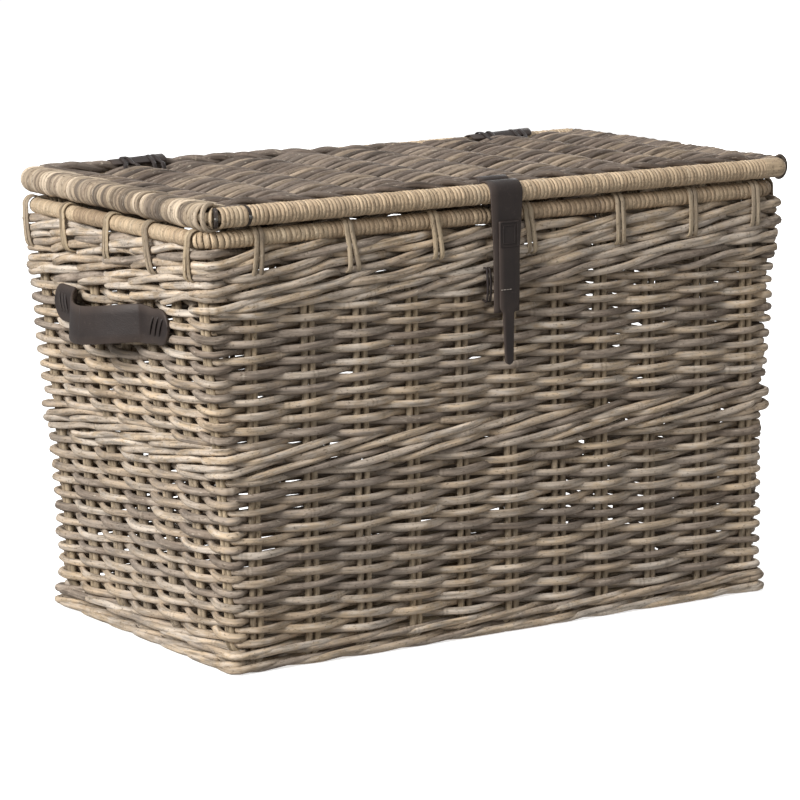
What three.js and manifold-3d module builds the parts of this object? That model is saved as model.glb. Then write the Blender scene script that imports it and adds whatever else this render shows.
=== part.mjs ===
// Wicker storage trunk: a tapered box of woven rattan on U-shaped ribs, with a framed wicker lid.
// Millimetres, +Z up. The origin is the middle of the underside, the front is towards -Y.
import * as THREE from "three";
import { mergeVertices } from "three/addons/utils/BufferGeometryUtils.js";
import Module from "manifold-3d";

// Box: outer sizes at the rim and on the ground. Only the length tapers.
const RIM_LENGTH = 758;
const BASE_LENGTH = 700;
const DEPTH = 430;
const CORNER_RADIUS = 20;
const INNER_CORNER_RADIUS = 3;
const RIM_AXIS_Z = 467;
const WALL = 24;
const GAP = 0.35;

// Bands of weave, from the ground up.
const BASE_WALE_TOP = 28;
const LOWER_WEAVE_TOP = 210;
const MIDDLE_WALE_TOP = 242;
const UPPER_WEAVE_TOP = 389;
const TOP_WALE_TOP = 456;
const WALE_BULGE = 1.5;
const FLOOR_THICKNESS = 16;

// Ribs: each is a pair of rods laid side by side, running up one wall, under the floor and up the other.
const ROD = 7.5;
const PAIR = 15;
const CROSS_RIB_X = [-317, -247, -182, -117, -53, 9, 73, 131, 197, 268, 332];
const SIDE_RIB_Y = [-187, -126, -62, 0, 64, 128, 187];
const FRONT_RIB_Z = 4.5;
const SIDE_RIB_Z = 16.5;
const RIB_BEND = 9;
const RIB_TOP = 439;

// Poles round the rim and the lid, and the cane wound on them.
const POLE = 14;
const POLE_BEVEL = 4.1;
const WRAP_INNER_RADIUS = 7.9;
const RIM_WRAP_RADIUS = 9.5;
const LID_WRAP_RADIUS = 11.5;
const LID_END_WRAP_RADIUS = 13;
const LID_LENGTH = 771;
const LID_DEPTH = 443;
const LID_SHIFT_X = 5;
const LID_SHIFT_Y = -2.2;
const LID_AXIS_Z = 491.5;
const RIM_POLE_CORNER = 26;
const LID_POLE_CORNER = 12;
const LID_WEAVE = 22;
const LID_END_MARGIN = 13.5;
const LID_BACK_MARGIN = 12;
const LID_FRONT_SLOT = 15;
const LID_RIBS = 10;
const LID_RIB_SPACING = 72;
const NAIL_ANGLE = Math.PI / 8;
const NAIL_X = -324;

// Leather: closure strap, hinges and carrying handles.
const LEATHER = 2.4;
const STRAP_X = -8;
const STRAP_WIDTH = 39;
const STRAP_END_WIDTH = 31;
const STRAP_END_Z = 362;
const TONGUE_WIDTH = 25;
const TONGUE_END_WIDTH = 10;
const TONGUE_TOP_Z = 462;
const TONGUE_TAPER_Z = 388;
const TONGUE_END_Z = 304;
const KEEPER_X = -31.5;
const KEEPER_BOTTOM_Z = 374;
const KEEPER_TOP_Z = 411;
const HINGES = [
  { side: "left", x: -236, width: 70 },
  { side: "right", x: 262, width: 86 },
];
const HINGE_AXIS_Z = 478.4;
const HINGE_LEAF_GAP = 1.2;
const HINGE_BOX_LEAF = 48;
const HANDLE_Z = 366;
const HANDLE_WIDTH = 42;
const HANDLE_LEATHER = 3.2;
const HANDLE_BOW = 34;
const HANDLE_DROOP = 9;
const HANDLE_DROOP_POWER = 1.3;
const HANDLE_Y = 4;
const HANDLE_HALF_SPAN = 76;
const HANDLE_STANDOFF = 3.5;
const ANCHOR_LENGTH = 56;

const wasm = await Module();
wasm.setup();

const trunk = new THREE.Group();

const finish = (color, roughness, metalness = 0) =>
  new THREE.MeshStandardMaterial({ color, roughness, metalness });
const MATERIALS = {
  weave: () => finish(0x9a8c78, 0.85),
  rib: () => finish(0xa3947d, 0.8),
  pole: () => finish(0xa08c6c, 0.8),
  cane: () => finish(0xc8b08a, 0.6),
  leather: () => finish(0x453c38, 0.6),
  nail: () => finish(0x9c9a94, 0.35, 1),
};

function add(name, geometry, material) {
  const mesh = new THREE.Mesh(geometry, MATERIALS[material]());
  mesh.name = name;
  trunk.add(mesh);
}

// ---- solids and vertex maps ----

function toSolid(geometry) {
  const loose = geometry.index ? geometry.toNonIndexed() : geometry;
  const bare = new THREE.BufferGeometry();
  bare.setAttribute("position", loose.getAttribute("position"));
  const merged = mergeVertices(bare, 1e-4);
  const mesh = new wasm.Mesh({
    numProp: 3,
    vertProperties: merged.attributes.position.array,
    triVerts: new Uint32Array(merged.index.array),
  });
  return new wasm.Manifold(mesh);
}

function toGeometry(solid) {
  const { vertProperties, triVerts } = solid.getMesh();
  const geometry = new THREE.BufferGeometry();
  geometry.setAttribute("position", new THREE.BufferAttribute(vertProperties, 3));
  geometry.setIndex(new THREE.BufferAttribute(triVerts, 1));
  return geometry;
}

function moveVertices(geometry, move) {
  const position = geometry.getAttribute("position");
  const point = new THREE.Vector3();
  for (let i = 0; i < position.count; i++) {
    point.fromBufferAttribute(position, i);
    move(point);
    position.setXYZ(i, point.x, point.y, point.z);
  }
  return geometry;
}

// The box narrows towards the ground: its walls are drawn at rim size and scaled along X.
const lengthAt = (z) => BASE_LENGTH + ((RIM_LENGTH - BASE_LENGTH) * z) / RIM_AXIS_Z;

function taper(geometry) {
  return moveVertices(geometry, (p) => {
    p.x *= lengthAt(p.z) / RIM_LENGTH;
  });
}

// ---- outlines ----

function roundedRectangle(outline, halfX, halfY, radius) {
  outline.moveTo(halfX, -halfY + radius);
  outline.lineTo(halfX, halfY - radius);
  outline.absarc(halfX - radius, halfY - radius, radius, 0, Math.PI / 2);
  outline.lineTo(-halfX + radius, halfY);
  outline.absarc(-halfX + radius, halfY - radius, radius, Math.PI / 2, Math.PI);
  outline.lineTo(-halfX, -halfY + radius);
  outline.absarc(-halfX + radius, -halfY + radius, radius, Math.PI, 1.5 * Math.PI);
  outline.lineTo(halfX - radius, -halfY);
  outline.absarc(halfX - radius, -halfY + radius, radius, 1.5 * Math.PI, 2 * Math.PI);
  return outline;
}

// A flat ring of the given wall width between two heights, with its edges bevelled.
function ring(halfX, halfY, radius, width, bottom, top, bevel = 0) {
  const shape = roundedRectangle(new THREE.Shape(), halfX, halfY, radius);
  const innerRadius = Math.max(radius - width, INNER_CORNER_RADIUS);
  const hole = roundedRectangle(new THREE.Path(), halfX - width, halfY - width, innerRadius);
  shape.holes.push(hole);
  const geometry = new THREE.ExtrudeGeometry(shape, {
    depth: top - bottom - 2 * bevel,
    curveSegments: 3,
    bevelEnabled: bevel > 0,
    bevelThickness: bevel,
    bevelSize: bevel,
    bevelOffset: -bevel,
    bevelSegments: 1,
  });
  return geometry.translate(0, 0, bottom + bevel);
}

function extrude(shape, depth, curveSegments = 4) {
  return new THREE.ExtrudeGeometry(shape, { depth, curveSegments, bevelEnabled: false });
}

// Turns a drawing of (y, z) into a solid along X, centred on the given x.
function acrossX(shape, width, x, curveSegments) {
  const geometry = extrude(shape, width, curveSegments);
  return geometry.rotateX(Math.PI / 2).rotateZ(Math.PI / 2).translate(x - width / 2, 0, 0);
}

// Turns a drawing of (x, z) into a solid along Y, centred on the given y.
function acrossY(shape, width, y, curveSegments) {
  return extrude(shape, width, curveSegments).rotateX(Math.PI / 2).translate(0, y + width / 2, 0);
}

// ---- ribs ----

// The U of one rib: legs a distance halfSpan either side, joined along the floor at the given height.
function ribOutline(halfSpan, floorZ, slack) {
  const outer = halfSpan + ROD / 2 + slack;
  const inner = halfSpan - ROD / 2 - slack;
  const bottom = floorZ - slack;
  const top = RIB_TOP + slack;
  const outerBend = RIB_BEND + slack;
  const innerBend = RIB_BEND - ROD - slack;
  const bendZ = floorZ + RIB_BEND;
  const shape = new THREE.Shape();
  shape.moveTo(-outer, top);
  shape.lineTo(-outer, bendZ);
  shape.absarc(-outer + outerBend, bendZ, outerBend, Math.PI, 1.5 * Math.PI);
  shape.lineTo(outer - outerBend, bottom);
  shape.absarc(outer - outerBend, bendZ, outerBend, 1.5 * Math.PI, 2 * Math.PI);
  shape.lineTo(outer, top);
  shape.lineTo(inner, top);
  shape.lineTo(inner, bendZ);
  shape.absarc(inner - innerBend, bendZ, innerBend, 0, -0.5 * Math.PI, true);
  shape.lineTo(-inner + innerBend, bendZ - innerBend);
  shape.absarc(-inner + innerBend, bendZ, innerBend, 1.5 * Math.PI, Math.PI, true);
  shape.lineTo(-inner, top);
  return shape;
}

const stakePlane = (half) => half - WALL / 2;

function crossRib(x, slack = 0) {
  const outline = ribOutline(stakePlane(DEPTH / 2), FRONT_RIB_Z, slack);
  return acrossX(outline, PAIR + 2 * slack, x, 2);
}

function sideRib(y, slack = 0) {
  const outline = ribOutline(stakePlane(RIM_LENGTH / 2), SIDE_RIB_Z, slack);
  return taper(acrossY(outline, PAIR + 2 * slack, y, 2));
}

CROSS_RIB_X.forEach((x, i) => add("cross_rib_" + (i + 1), crossRib(x), "rib"));
SIDE_RIB_Y.forEach((y, i) => add("side_rib_" + (i + 1), sideRib(y), "rib"));

const ribRoom = wasm.Manifold.union([
  ...CROSS_RIB_X.map((x) => toSolid(crossRib(x, GAP))),
  ...SIDE_RIB_Y.map((y) => toSolid(sideRib(y, GAP))),
]);

// ---- walls and floor ----

function wallBand(name, bottom, top, bulge) {
  const halfX = RIM_LENGTH / 2 + bulge;
  const halfY = DEPTH / 2 + bulge;
  const width = WALL + 2 * bulge;
  const band = taper(ring(halfX, halfY, CORNER_RADIUS + bulge, width, bottom, top));
  add(name, toGeometry(toSolid(band).subtract(ribRoom)), "weave");
}

wallBand("base_wale", 0, BASE_WALE_TOP, WALE_BULGE);
wallBand("lower_weave", BASE_WALE_TOP + GAP, LOWER_WEAVE_TOP, 0);
wallBand("middle_wale", LOWER_WEAVE_TOP + GAP, MIDDLE_WALE_TOP, WALE_BULGE);
wallBand("upper_weave", MIDDLE_WALE_TOP + GAP, UPPER_WEAVE_TOP, 0);
wallBand("top_wale", UPPER_WEAVE_TOP + GAP, TOP_WALE_TOP, WALE_BULGE);

function floorWeave() {
  const inset = WALL + WALE_BULGE + GAP;
  const halfX = RIM_LENGTH / 2 - inset;
  const halfY = DEPTH / 2 - inset;
  const outline = roundedRectangle(new THREE.Shape(), halfX, halfY, INNER_CORNER_RADIUS);
  const slab = taper(extrude(outline, FLOOR_THICKNESS, 3));
  return toGeometry(toSolid(slab).subtract(ribRoom));
}

add("floor_weave", floorWeave(), "weave");

// ---- poles and the cane wound on them ----

// A pole's middle line is a rounded rectangle, axisX and axisY away from its centre.
function poleRing(axisX, axisY, corner, axisZ) {
  const half = POLE / 2;
  const [low, high] = [axisZ - half, axisZ + half];
  return ring(axisX + half, axisY + half, corner + half, POLE, low, high, POLE_BEVEL);
}

// A winding of cane on a straight stretch of pole, as a tube along X, centred on the origin.
function winding(length, radius) {
  const profile = [
    new THREE.Vector2(WRAP_INNER_RADIUS, -length / 2),
    new THREE.Vector2(radius, -length / 2),
    new THREE.Vector2(radius, length / 2),
    new THREE.Vector2(WRAP_INNER_RADIUS, length / 2),
    new THREE.Vector2(WRAP_INNER_RADIUS, -length / 2),
  ];
  return new THREE.LatheGeometry(profile, 12).rotateZ(Math.PI / 2);
}

function addWindings(prefix, axisX, axisY, corner, radius, endRadius, place) {
  const alongX = 2 * (axisX - corner);
  const alongY = 2 * (axisY - corner);
  const put = (name, geometry, x, y) =>
    add(prefix + name, geometry.translate(place.x + x, place.y + y, place.z), "cane");
  put("_wrap_front", winding(alongX, radius), 0, -axisY);
  put("_wrap_back", winding(alongX, radius), 0, axisY);
  put("_wrap_left", winding(alongY, endRadius).rotateZ(Math.PI / 2), -axisX, 0);
  put("_wrap_right", winding(alongY, endRadius).rotateZ(Math.PI / 2), axisX, 0);
}

const RIM_AXIS_X = RIM_LENGTH / 2 - RIM_WRAP_RADIUS;
const RIM_AXIS_Y = DEPTH / 2 - RIM_WRAP_RADIUS;
const rimPlace = new THREE.Vector3(0, 0, RIM_AXIS_Z);
add("rim_pole", poleRing(RIM_AXIS_X, RIM_AXIS_Y, RIM_POLE_CORNER, RIM_AXIS_Z), "pole");
const rimRadii = [RIM_WRAP_RADIUS, RIM_WRAP_RADIUS];
addWindings("rim", RIM_AXIS_X, RIM_AXIS_Y, RIM_POLE_CORNER, ...rimRadii, rimPlace);

// ---- lid ----

const LID_AXIS_X = LID_LENGTH / 2 - LID_END_WRAP_RADIUS;
const LID_AXIS_Y = LID_DEPTH / 2 - LID_WRAP_RADIUS;
const LID_FRONT_AXIS_Y = LID_SHIFT_Y - LID_AXIS_Y;
const LID_BACK_AXIS_Y = LID_SHIFT_Y + LID_AXIS_Y;
const LID_WEAVE_FRONT = LID_FRONT_AXIS_Y + LID_FRONT_SLOT;
const LID_WEAVE_BACK = LID_BACK_AXIS_Y - LID_BACK_MARGIN;
const LID_WEAVE_MIDDLE = (LID_WEAVE_FRONT + LID_WEAVE_BACK) / 2;

const lidPlace = new THREE.Vector3(LID_SHIFT_X, LID_SHIFT_Y, LID_AXIS_Z);
const lidFrame = poleRing(LID_AXIS_X, LID_AXIS_Y, LID_POLE_CORNER, LID_AXIS_Z);
add("lid_frame", lidFrame.translate(LID_SHIFT_X, LID_SHIFT_Y, 0), "pole");
const lidRadii = [LID_WRAP_RADIUS, LID_END_WRAP_RADIUS];
addWindings("lid", LID_AXIS_X, LID_AXIS_Y, LID_POLE_CORNER, ...lidRadii, lidPlace);

function lidRib(x, slack, ends) {
  const depth = LID_WEAVE_BACK - LID_WEAVE_FRONT + ends;
  const rib = new THREE.BoxGeometry(PAIR + 2 * slack, depth, ROD + 2 * slack);
  return rib.translate(x, LID_WEAVE_MIDDLE, LID_AXIS_Z);
}

const lidRibPlaces = Array.from(
  { length: LID_RIBS },
  (_, i) => (i - (LID_RIBS - 1) / 2) * LID_RIB_SPACING,
);

function lidWeave() {
  const halfX = LID_AXIS_X - LID_END_MARGIN;
  const halfY = (LID_WEAVE_BACK - LID_WEAVE_FRONT) / 2;
  const outline = roundedRectangle(new THREE.Shape(), halfX, halfY, LID_POLE_CORNER);
  const slab = extrude(outline, LID_WEAVE, 3);
  slab.translate(LID_SHIFT_X, LID_WEAVE_MIDDLE, LID_AXIS_Z - LID_WEAVE / 2);
  const room = wasm.Manifold.union(lidRibPlaces.map((x) => toSolid(lidRib(x, GAP, 2))));
  return toGeometry(toSolid(slab).subtract(room));
}

add("lid_weave", lidWeave(), "weave");
lidRibPlaces.forEach((x, i) => add("lid_rib_" + (i + 1), lidRib(x, 0, -1), "rib"));

// Two nails pin the lid's front winding at its left corner: one on the round, one on the straight.
function nail() {
  const head = [
    new THREE.Vector2(0, 0),
    new THREE.Vector2(3, 0),
    new THREE.Vector2(2.6, 0.9),
    new THREE.Vector2(0, 1.6),
  ];
  return new THREE.LatheGeometry(head, 12).rotateX(Math.PI);
}

function addNails() {
  const cornerX = LID_SHIFT_X - (LID_AXIS_X - LID_POLE_CORNER);
  const cornerY = LID_FRONT_AXIS_Y + LID_POLE_CORNER;
  const reach = LID_POLE_CORNER + POLE / 2 + GAP;
  const [acrossCorner, awayFromCorner] = [Math.sin(NAIL_ANGLE), Math.cos(NAIL_ANGLE)];
  const first = nail().rotateZ(-NAIL_ANGLE);
  first.translate(cornerX - reach * acrossCorner, cornerY - reach * awayFromCorner, LID_AXIS_Z);
  add("lid_nail_1", first, "nail");
  const straightY = LID_FRONT_AXIS_Y - LID_WRAP_RADIUS - GAP;
  add("lid_nail_2", nail().translate(NAIL_X, straightY, LID_AXIS_Z), "nail");
}

addNails();

// ---- closure ----

// A loop round the lid's front pole with the strap hanging from it, narrowing towards its end.
function closureStrap() {
  const inner = LID_WRAP_RADIUS + 0.4;
  const outer = inner + LEATHER;
  const join = Math.PI + Math.acos(inner / outer);
  const end = STRAP_END_Z - LID_AXIS_Z;
  const shape = new THREE.Shape();
  shape.moveTo(-outer, end);
  shape.lineTo(-outer, 0);
  shape.absarc(0, 0, outer, Math.PI, join - 2 * Math.PI, true);
  shape.lineTo(-inner, end);
  shape.holes.push(new THREE.Path().absarc(0, 0, inner, 0, 2 * Math.PI));
  const geometry = acrossX(shape, STRAP_WIDTH, 0, 10);
  moveVertices(geometry, (p) => {
    const along = Math.max(0, p.z / end);
    p.x *= 1 + (STRAP_END_WIDTH / STRAP_WIDTH - 1) * along;
  });
  return geometry.translate(STRAP_X, LID_FRONT_AXIS_Y, LID_AXIS_Z);
}

function closureTongue() {
  const half = TONGUE_WIDTH / 2;
  const endRadius = TONGUE_END_WIDTH / 2;
  const shape = new THREE.Shape();
  shape.moveTo(-half, TONGUE_TOP_Z);
  shape.lineTo(-half, TONGUE_TAPER_Z);
  shape.lineTo(-endRadius, TONGUE_END_Z + endRadius);
  shape.absarc(0, TONGUE_END_Z + endRadius, endRadius, Math.PI, 2 * Math.PI);
  shape.lineTo(half, TONGUE_TAPER_Z);
  shape.lineTo(half, TONGUE_TOP_Z);
  const back = LID_FRONT_AXIS_Y - LID_WRAP_RADIUS - 0.4 - LEATHER - GAP;
  return acrossY(shape, LEATHER, back - LEATHER / 2, 4).translate(STRAP_X, 0, 0);
}

// A thong arched off the weave beside the strap.
function closureKeeper() {
  const foot = -DEPTH / 2 - WALE_BULGE - GAP;
  const middle = (KEEPER_BOTTOM_Z + KEEPER_TOP_Z) / 2;
  const thickness = 1.8;
  const rise = 11;
  const shape = new THREE.Shape();
  shape.moveTo(foot, KEEPER_TOP_Z);
  shape.quadraticCurveTo(foot - rise, middle, foot, KEEPER_BOTTOM_Z);
  shape.lineTo(foot, KEEPER_BOTTOM_Z + 2 * thickness);
  shape.quadraticCurveTo(foot - rise + 2 * thickness, middle, foot, KEEPER_TOP_Z - 2 * thickness);
  return acrossX(shape, 4, KEEPER_X, 8);
}

add("closure_strap", closureStrap(), "leather");
add("closure_tongue", closureTongue(), "leather");
add("closure_keeper", closureKeeper(), "leather");

// ---- hinges: leather folded over the lid's back pole and laced down the back of the box ----

const LEAF_INNER = LID_WRAP_RADIUS + 0.4;
const LEAF_OUTER = LEAF_INNER + LEATHER;

function lidLeaf(x, width) {
  const start = (112 * Math.PI) / 180;
  const drop = HINGE_AXIS_Z + HINGE_LEAF_GAP - LID_AXIS_Z;
  const shape = new THREE.Shape();
  shape.moveTo(LEAF_INNER, drop);
  shape.lineTo(LEAF_OUTER, drop);
  shape.lineTo(LEAF_OUTER, 0);
  shape.absarc(0, 0, LEAF_OUTER, 0, start);
  shape.absarc(0, 0, LEAF_INNER, start, 0, true);
  return acrossX(shape, width, x, 6).translate(0, LID_BACK_AXIS_Y, LID_AXIS_Z);
}

function boxLeaf(x, width) {
  const top = HINGE_AXIS_Z - HINGE_LEAF_GAP;
  const leaf = new THREE.BoxGeometry(width, LEATHER, HINGE_BOX_LEAF);
  const y = LID_BACK_AXIS_Y + (LEAF_INNER + LEAF_OUTER) / 2;
  return leaf.translate(x, y, top - HINGE_BOX_LEAF / 2);
}

for (const { side, x, width } of HINGES) {
  add(side + "_hinge_lid_leaf", lidLeaf(x, width), "leather");
  add(side + "_hinge_box_leaf", boxLeaf(x, width), "leather");
}

// ---- handles: a bowed strap between two anchors laced to the end wall ----

function handleStrap() {
  const points = 12;
  const inner = [];
  const outer = [];
  for (let i = 0; i <= points; i++) {
    const across = -1 + (2 * i) / points;
    const slope = (2 * HANDLE_BOW * across) / HANDLE_HALF_SPAN;
    const stretch = Math.hypot(1, slope);
    const bow = HANDLE_BOW * (1 - across * across);
    const y = HANDLE_HALF_SPAN * across;
    inner.push(new THREE.Vector2(-bow, y));
    const flat = Math.abs(across) === 1 ? 0 : 1;
    const alongY = (flat * slope * HANDLE_LEATHER) / stretch;
    outer.push(new THREE.Vector2(-bow - HANDLE_LEATHER / (flat ? stretch : 1), y + alongY));
  }
  const strap = extrude(new THREE.Shape([...outer, ...inner.reverse()]), HANDLE_WIDTH);
  return moveVertices(strap, (p) => {
    const along = (p.y / HANDLE_HALF_SPAN + 1) / 2;
    const inside = Math.min(1, Math.max(0, along)) ** HANDLE_DROOP_POWER;
    p.z += HANDLE_Z - HANDLE_WIDTH / 2 - HANDLE_DROOP * Math.sin(Math.PI * inside);
    p.x -= lengthAt(HANDLE_Z) / 2 + HANDLE_STANDOFF;
    p.y += HANDLE_Y;
  });
}

// The laced end of a handle: a plate on the wall whose far end is rounded.
function handleAnchor(end) {
  const near = HANDLE_Y + end * (HANDLE_HALF_SPAN + 0.8);
  const far = near + end * ANCHOR_LENGTH;
  const half = HANDLE_WIDTH / 2;
  const shape = new THREE.Shape();
  shape.moveTo(near, HANDLE_Z + half);
  shape.lineTo(near, HANDLE_Z - half);
  shape.lineTo(far - end * 14, HANDLE_Z - half);
  shape.quadraticCurveTo(far, HANDLE_Z - half, far, HANDLE_Z);
  shape.quadraticCurveTo(far, HANDLE_Z + half, far - end * 14, HANDLE_Z + half);
  const wall = RIM_LENGTH / 2 + GAP;
  return taper(acrossX(shape, HANDLE_LEATHER, -wall - HANDLE_LEATHER / 2, 4));
}

function mirrored(geometry) {
  const copy = moveVertices(geometry.clone(), (p) => p.setX(-p.x));
  const position = copy.getAttribute("position");
  const flipped = new Float32Array(position.array.length);
  for (let i = 0; i < position.count; i++) {
    const corner = i % 3;
    const from = i - corner + (2 - corner);
    flipped.set([position.getX(from), position.getY(from), position.getZ(from)], 3 * i);
  }
  copy.setAttribute("position", new THREE.BufferAttribute(flipped, 3));
  return copy;
}

const handlePieces = {
  handle_strap: handleStrap(),
  handle_back_anchor: handleAnchor(1),
  handle_front_anchor: handleAnchor(-1),
};
for (const [name, geometry] of Object.entries(handlePieces)) {
  add("left_" + name, geometry, "leather");
  add("right_" + name, mirrored(geometry), "leather");
}

export default trunk;
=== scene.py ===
"""Visual model of the wicker storage trunk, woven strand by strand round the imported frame."""

import math

import bpy
import numpy as np
from mathutils import Matrix, Vector


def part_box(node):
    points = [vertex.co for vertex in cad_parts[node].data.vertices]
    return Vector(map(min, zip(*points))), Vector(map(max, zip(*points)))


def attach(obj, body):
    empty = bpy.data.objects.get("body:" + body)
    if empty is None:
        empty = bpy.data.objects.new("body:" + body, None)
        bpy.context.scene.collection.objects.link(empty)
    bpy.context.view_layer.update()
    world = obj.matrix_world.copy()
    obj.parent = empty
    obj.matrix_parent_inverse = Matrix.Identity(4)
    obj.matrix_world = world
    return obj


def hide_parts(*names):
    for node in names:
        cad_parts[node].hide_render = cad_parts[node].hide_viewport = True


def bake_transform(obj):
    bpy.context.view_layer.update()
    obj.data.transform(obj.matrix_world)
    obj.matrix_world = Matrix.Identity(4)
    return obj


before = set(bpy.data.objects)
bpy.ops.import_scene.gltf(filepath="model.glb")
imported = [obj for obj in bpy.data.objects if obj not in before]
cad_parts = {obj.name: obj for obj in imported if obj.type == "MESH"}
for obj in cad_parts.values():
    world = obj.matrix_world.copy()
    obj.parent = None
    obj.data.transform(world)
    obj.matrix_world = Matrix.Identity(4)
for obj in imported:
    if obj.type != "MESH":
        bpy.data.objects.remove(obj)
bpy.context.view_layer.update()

rng = np.random.default_rng(7)

# ---- camera ----

CAMERA_AZIMUTH = math.radians(-31.7)
CAMERA_ELEVATION = math.radians(9.8)
CAMERA_ROLL = math.radians(-0.9)
CAMERA_DISTANCE = 4.302
CAMERA_TARGET = Vector((0, 0, 0.25))
SENSOR = 36.0
FOCAL_TO_FRAME = 3750 / 800
CAMERA_SHIFT = (-0.007, -0.02)


def add_object(name, data):
    made = bpy.data.objects.new(name, data)
    bpy.context.scene.collection.objects.link(made)
    return made


def make_camera():
    a, e, r = CAMERA_AZIMUTH, CAMERA_ELEVATION, CAMERA_ROLL
    back = Vector((math.sin(a) * math.cos(e), -math.cos(a) * math.cos(e), math.sin(e)))
    level = Vector((math.cos(a), math.sin(a), 0))
    upright = back.cross(level)
    right = level * math.cos(r) + upright * math.sin(r)
    up = upright * math.cos(r) - level * math.sin(r)
    data = bpy.data.cameras.new("camera")
    data.sensor_width = SENSOR
    data.lens = SENSOR * FOCAL_TO_FRAME
    data.shift_x, data.shift_y = CAMERA_SHIFT
    data.clip_start = 0.1
    data.clip_end = 200
    camera = add_object("camera", data)
    turn = Matrix((right, up, back)).transposed().to_4x4()
    camera.matrix_world = Matrix.Translation(CAMERA_TARGET + back * CAMERA_DISTANCE) @ turn
    bpy.context.scene.camera = camera


make_camera()

# ---- sizes taken from the frame ----


def corners(node):
    low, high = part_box(node)
    return np.array(low), np.array(high)


base_high = corners("base_wale")[1]
lower_low, lower_high = corners("lower_weave")
middle_low, middle_high = corners("middle_wale")
upper_low, upper_high = corners("upper_weave")
top_low, top_high = corners("top_wale")
rim_low, rim_high = corners("rim_pole")
lid_low, lid_high = corners("lid_frame")
lid_wrap_high = corners("lid_wrap_front")[1]
panel_low, panel_high = corners("lid_weave")
floor_low, floor_high = corners("floor_weave")

RIM_AXIS_Z = (rim_low[2] + rim_high[2]) / 2
LID_AXIS_Z = (lid_low[2] + lid_high[2]) / 2
DEPTH_HALF = upper_high[1]
WALL_HALF = 0.012
STAKE_CORNER = 0.008
WAIST_LOW = 0.030
WAIST_HIGH = 0.310
WAIST_DEPTH = 0.0035
BULGE_LEFT = 0.0035
BULGE_RIGHT = 0.006
BASE_FLARE = 0.004
FLARE_HEIGHT = 0.02


def fit_taper():
    """The half length of the wall's outside at the rim, and how it shrinks per metre going down."""
    slope = (upper_high[0] - lower_high[0]) / (upper_high[2] - lower_high[2])
    at_rim = upper_high[0] + slope * (RIM_AXIS_Z - upper_high[2])
    return at_rim, slope


RIM_HALF, TAPER = fit_taper()


def half_length(z):
    """Half the box's outer length at height z: it tapers to the ground and is drawn in below the middle."""
    z = np.asarray(z, float)
    inside = np.clip((z - WAIST_LOW) / (WAIST_HIGH - WAIST_LOW), 0, 1)
    flare = BASE_FLARE * np.exp(-((z / FLARE_HEIGHT) ** 2))
    return RIM_HALF + TAPER * (z - RIM_AXIS_Z) - WAIST_DEPTH * np.sin(math.pi * inside) + flare


def places(prefix, axis):
    """The centres of the numbered nodes along one axis."""
    names = [prefix + str(i) for i in range(1, 20) if prefix + str(i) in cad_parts]
    return [sum(corners(name))[axis] / 2 for name in names]


cross_places = places("cross_rib_", 0)
side_places = places("side_rib_", 1)
lid_rib_places = places("lid_rib_", 0)

# ---- the path round the walls, counted in stakes ----

STRAIGHT_Y = DEPTH_HALF - WALL_HALF - STAKE_CORNER
ARC = STAKE_CORNER * math.pi / 2
ROUND = 2 * (len(cross_places) + len(side_places))


def round_path(s, straight_x, straight_y, corner):
    """Points and outward normals at distance s along a rounded rectangle, from the back's middle.

    straight_x may change from point to point, for a box that tapers.
    """
    s = np.asarray(s, float)
    straight_x = np.broadcast_to(straight_x, s.shape)
    arc = corner * math.pi / 2
    s = np.mod(s, 4 * (straight_x + straight_y + arc))
    side_y = np.full_like(s, straight_y)
    legs = [
        (straight_x, (0, 1), (-1, 0), 0 * s, side_y + corner),
        (2 * side_y, (-1, 0), (0, -1), -straight_x - corner, side_y),
        (2 * straight_x, (0, -1), (1, 0), -straight_x, -side_y - corner),
        (2 * side_y, (1, 0), (0, 1), straight_x + corner, -side_y),
        (straight_x, (0, 1), (-1, 0), straight_x, side_y + corner),
    ]
    turns = [(-1, 1), (-1, -1), (1, -1), (1, 1)]
    x, y, nx, ny = (np.zeros_like(s) for _ in range(4))
    start = np.zeros_like(s)
    for i, (reach, normal, way, from_x, from_y) in enumerate(legs):
        t = s - start
        on = (t >= 0) & (t <= reach)
        x, y = np.where(on, from_x + way[0] * t, x), np.where(on, from_y + way[1] * t, y)
        nx, ny = np.where(on, normal[0], nx), np.where(on, normal[1], ny)
        start = start + reach
        if i == len(turns):
            break
        t = s - start
        on = (t > 0) & (t < arc)
        angle = math.pi / 2 * (1 + i) + t / corner
        x = np.where(on, turns[i][0] * straight_x + corner * np.cos(angle), x)
        y = np.where(on, turns[i][1] * side_y + corner * np.sin(angle), y)
        nx, ny = np.where(on, np.cos(angle), nx), np.where(on, np.sin(angle), ny)
        start = start + arc
    return x, y, nx, ny


def wall_straight(z):
    return half_length(z) - WALL_HALF - STAKE_CORNER


def stake_distances(z):
    """How far along the path each stake stands at height z, and the path's length."""
    straight_x = float(wall_straight(z))
    left = straight_x + ARC
    front = left + 2 * STRAIGHT_Y + ARC
    right = front + 2 * straight_x + ARC
    length = 4 * (straight_x + STRAIGHT_Y + ARC)
    found = [-x if x <= 0 else length - x for x in cross_places]
    found += [left + STRAIGHT_Y - y for y in side_places]
    found += [front + straight_x + x for x in cross_places]
    found += [right + STRAIGHT_Y + y for y in side_places]
    return np.sort(found), length


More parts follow.
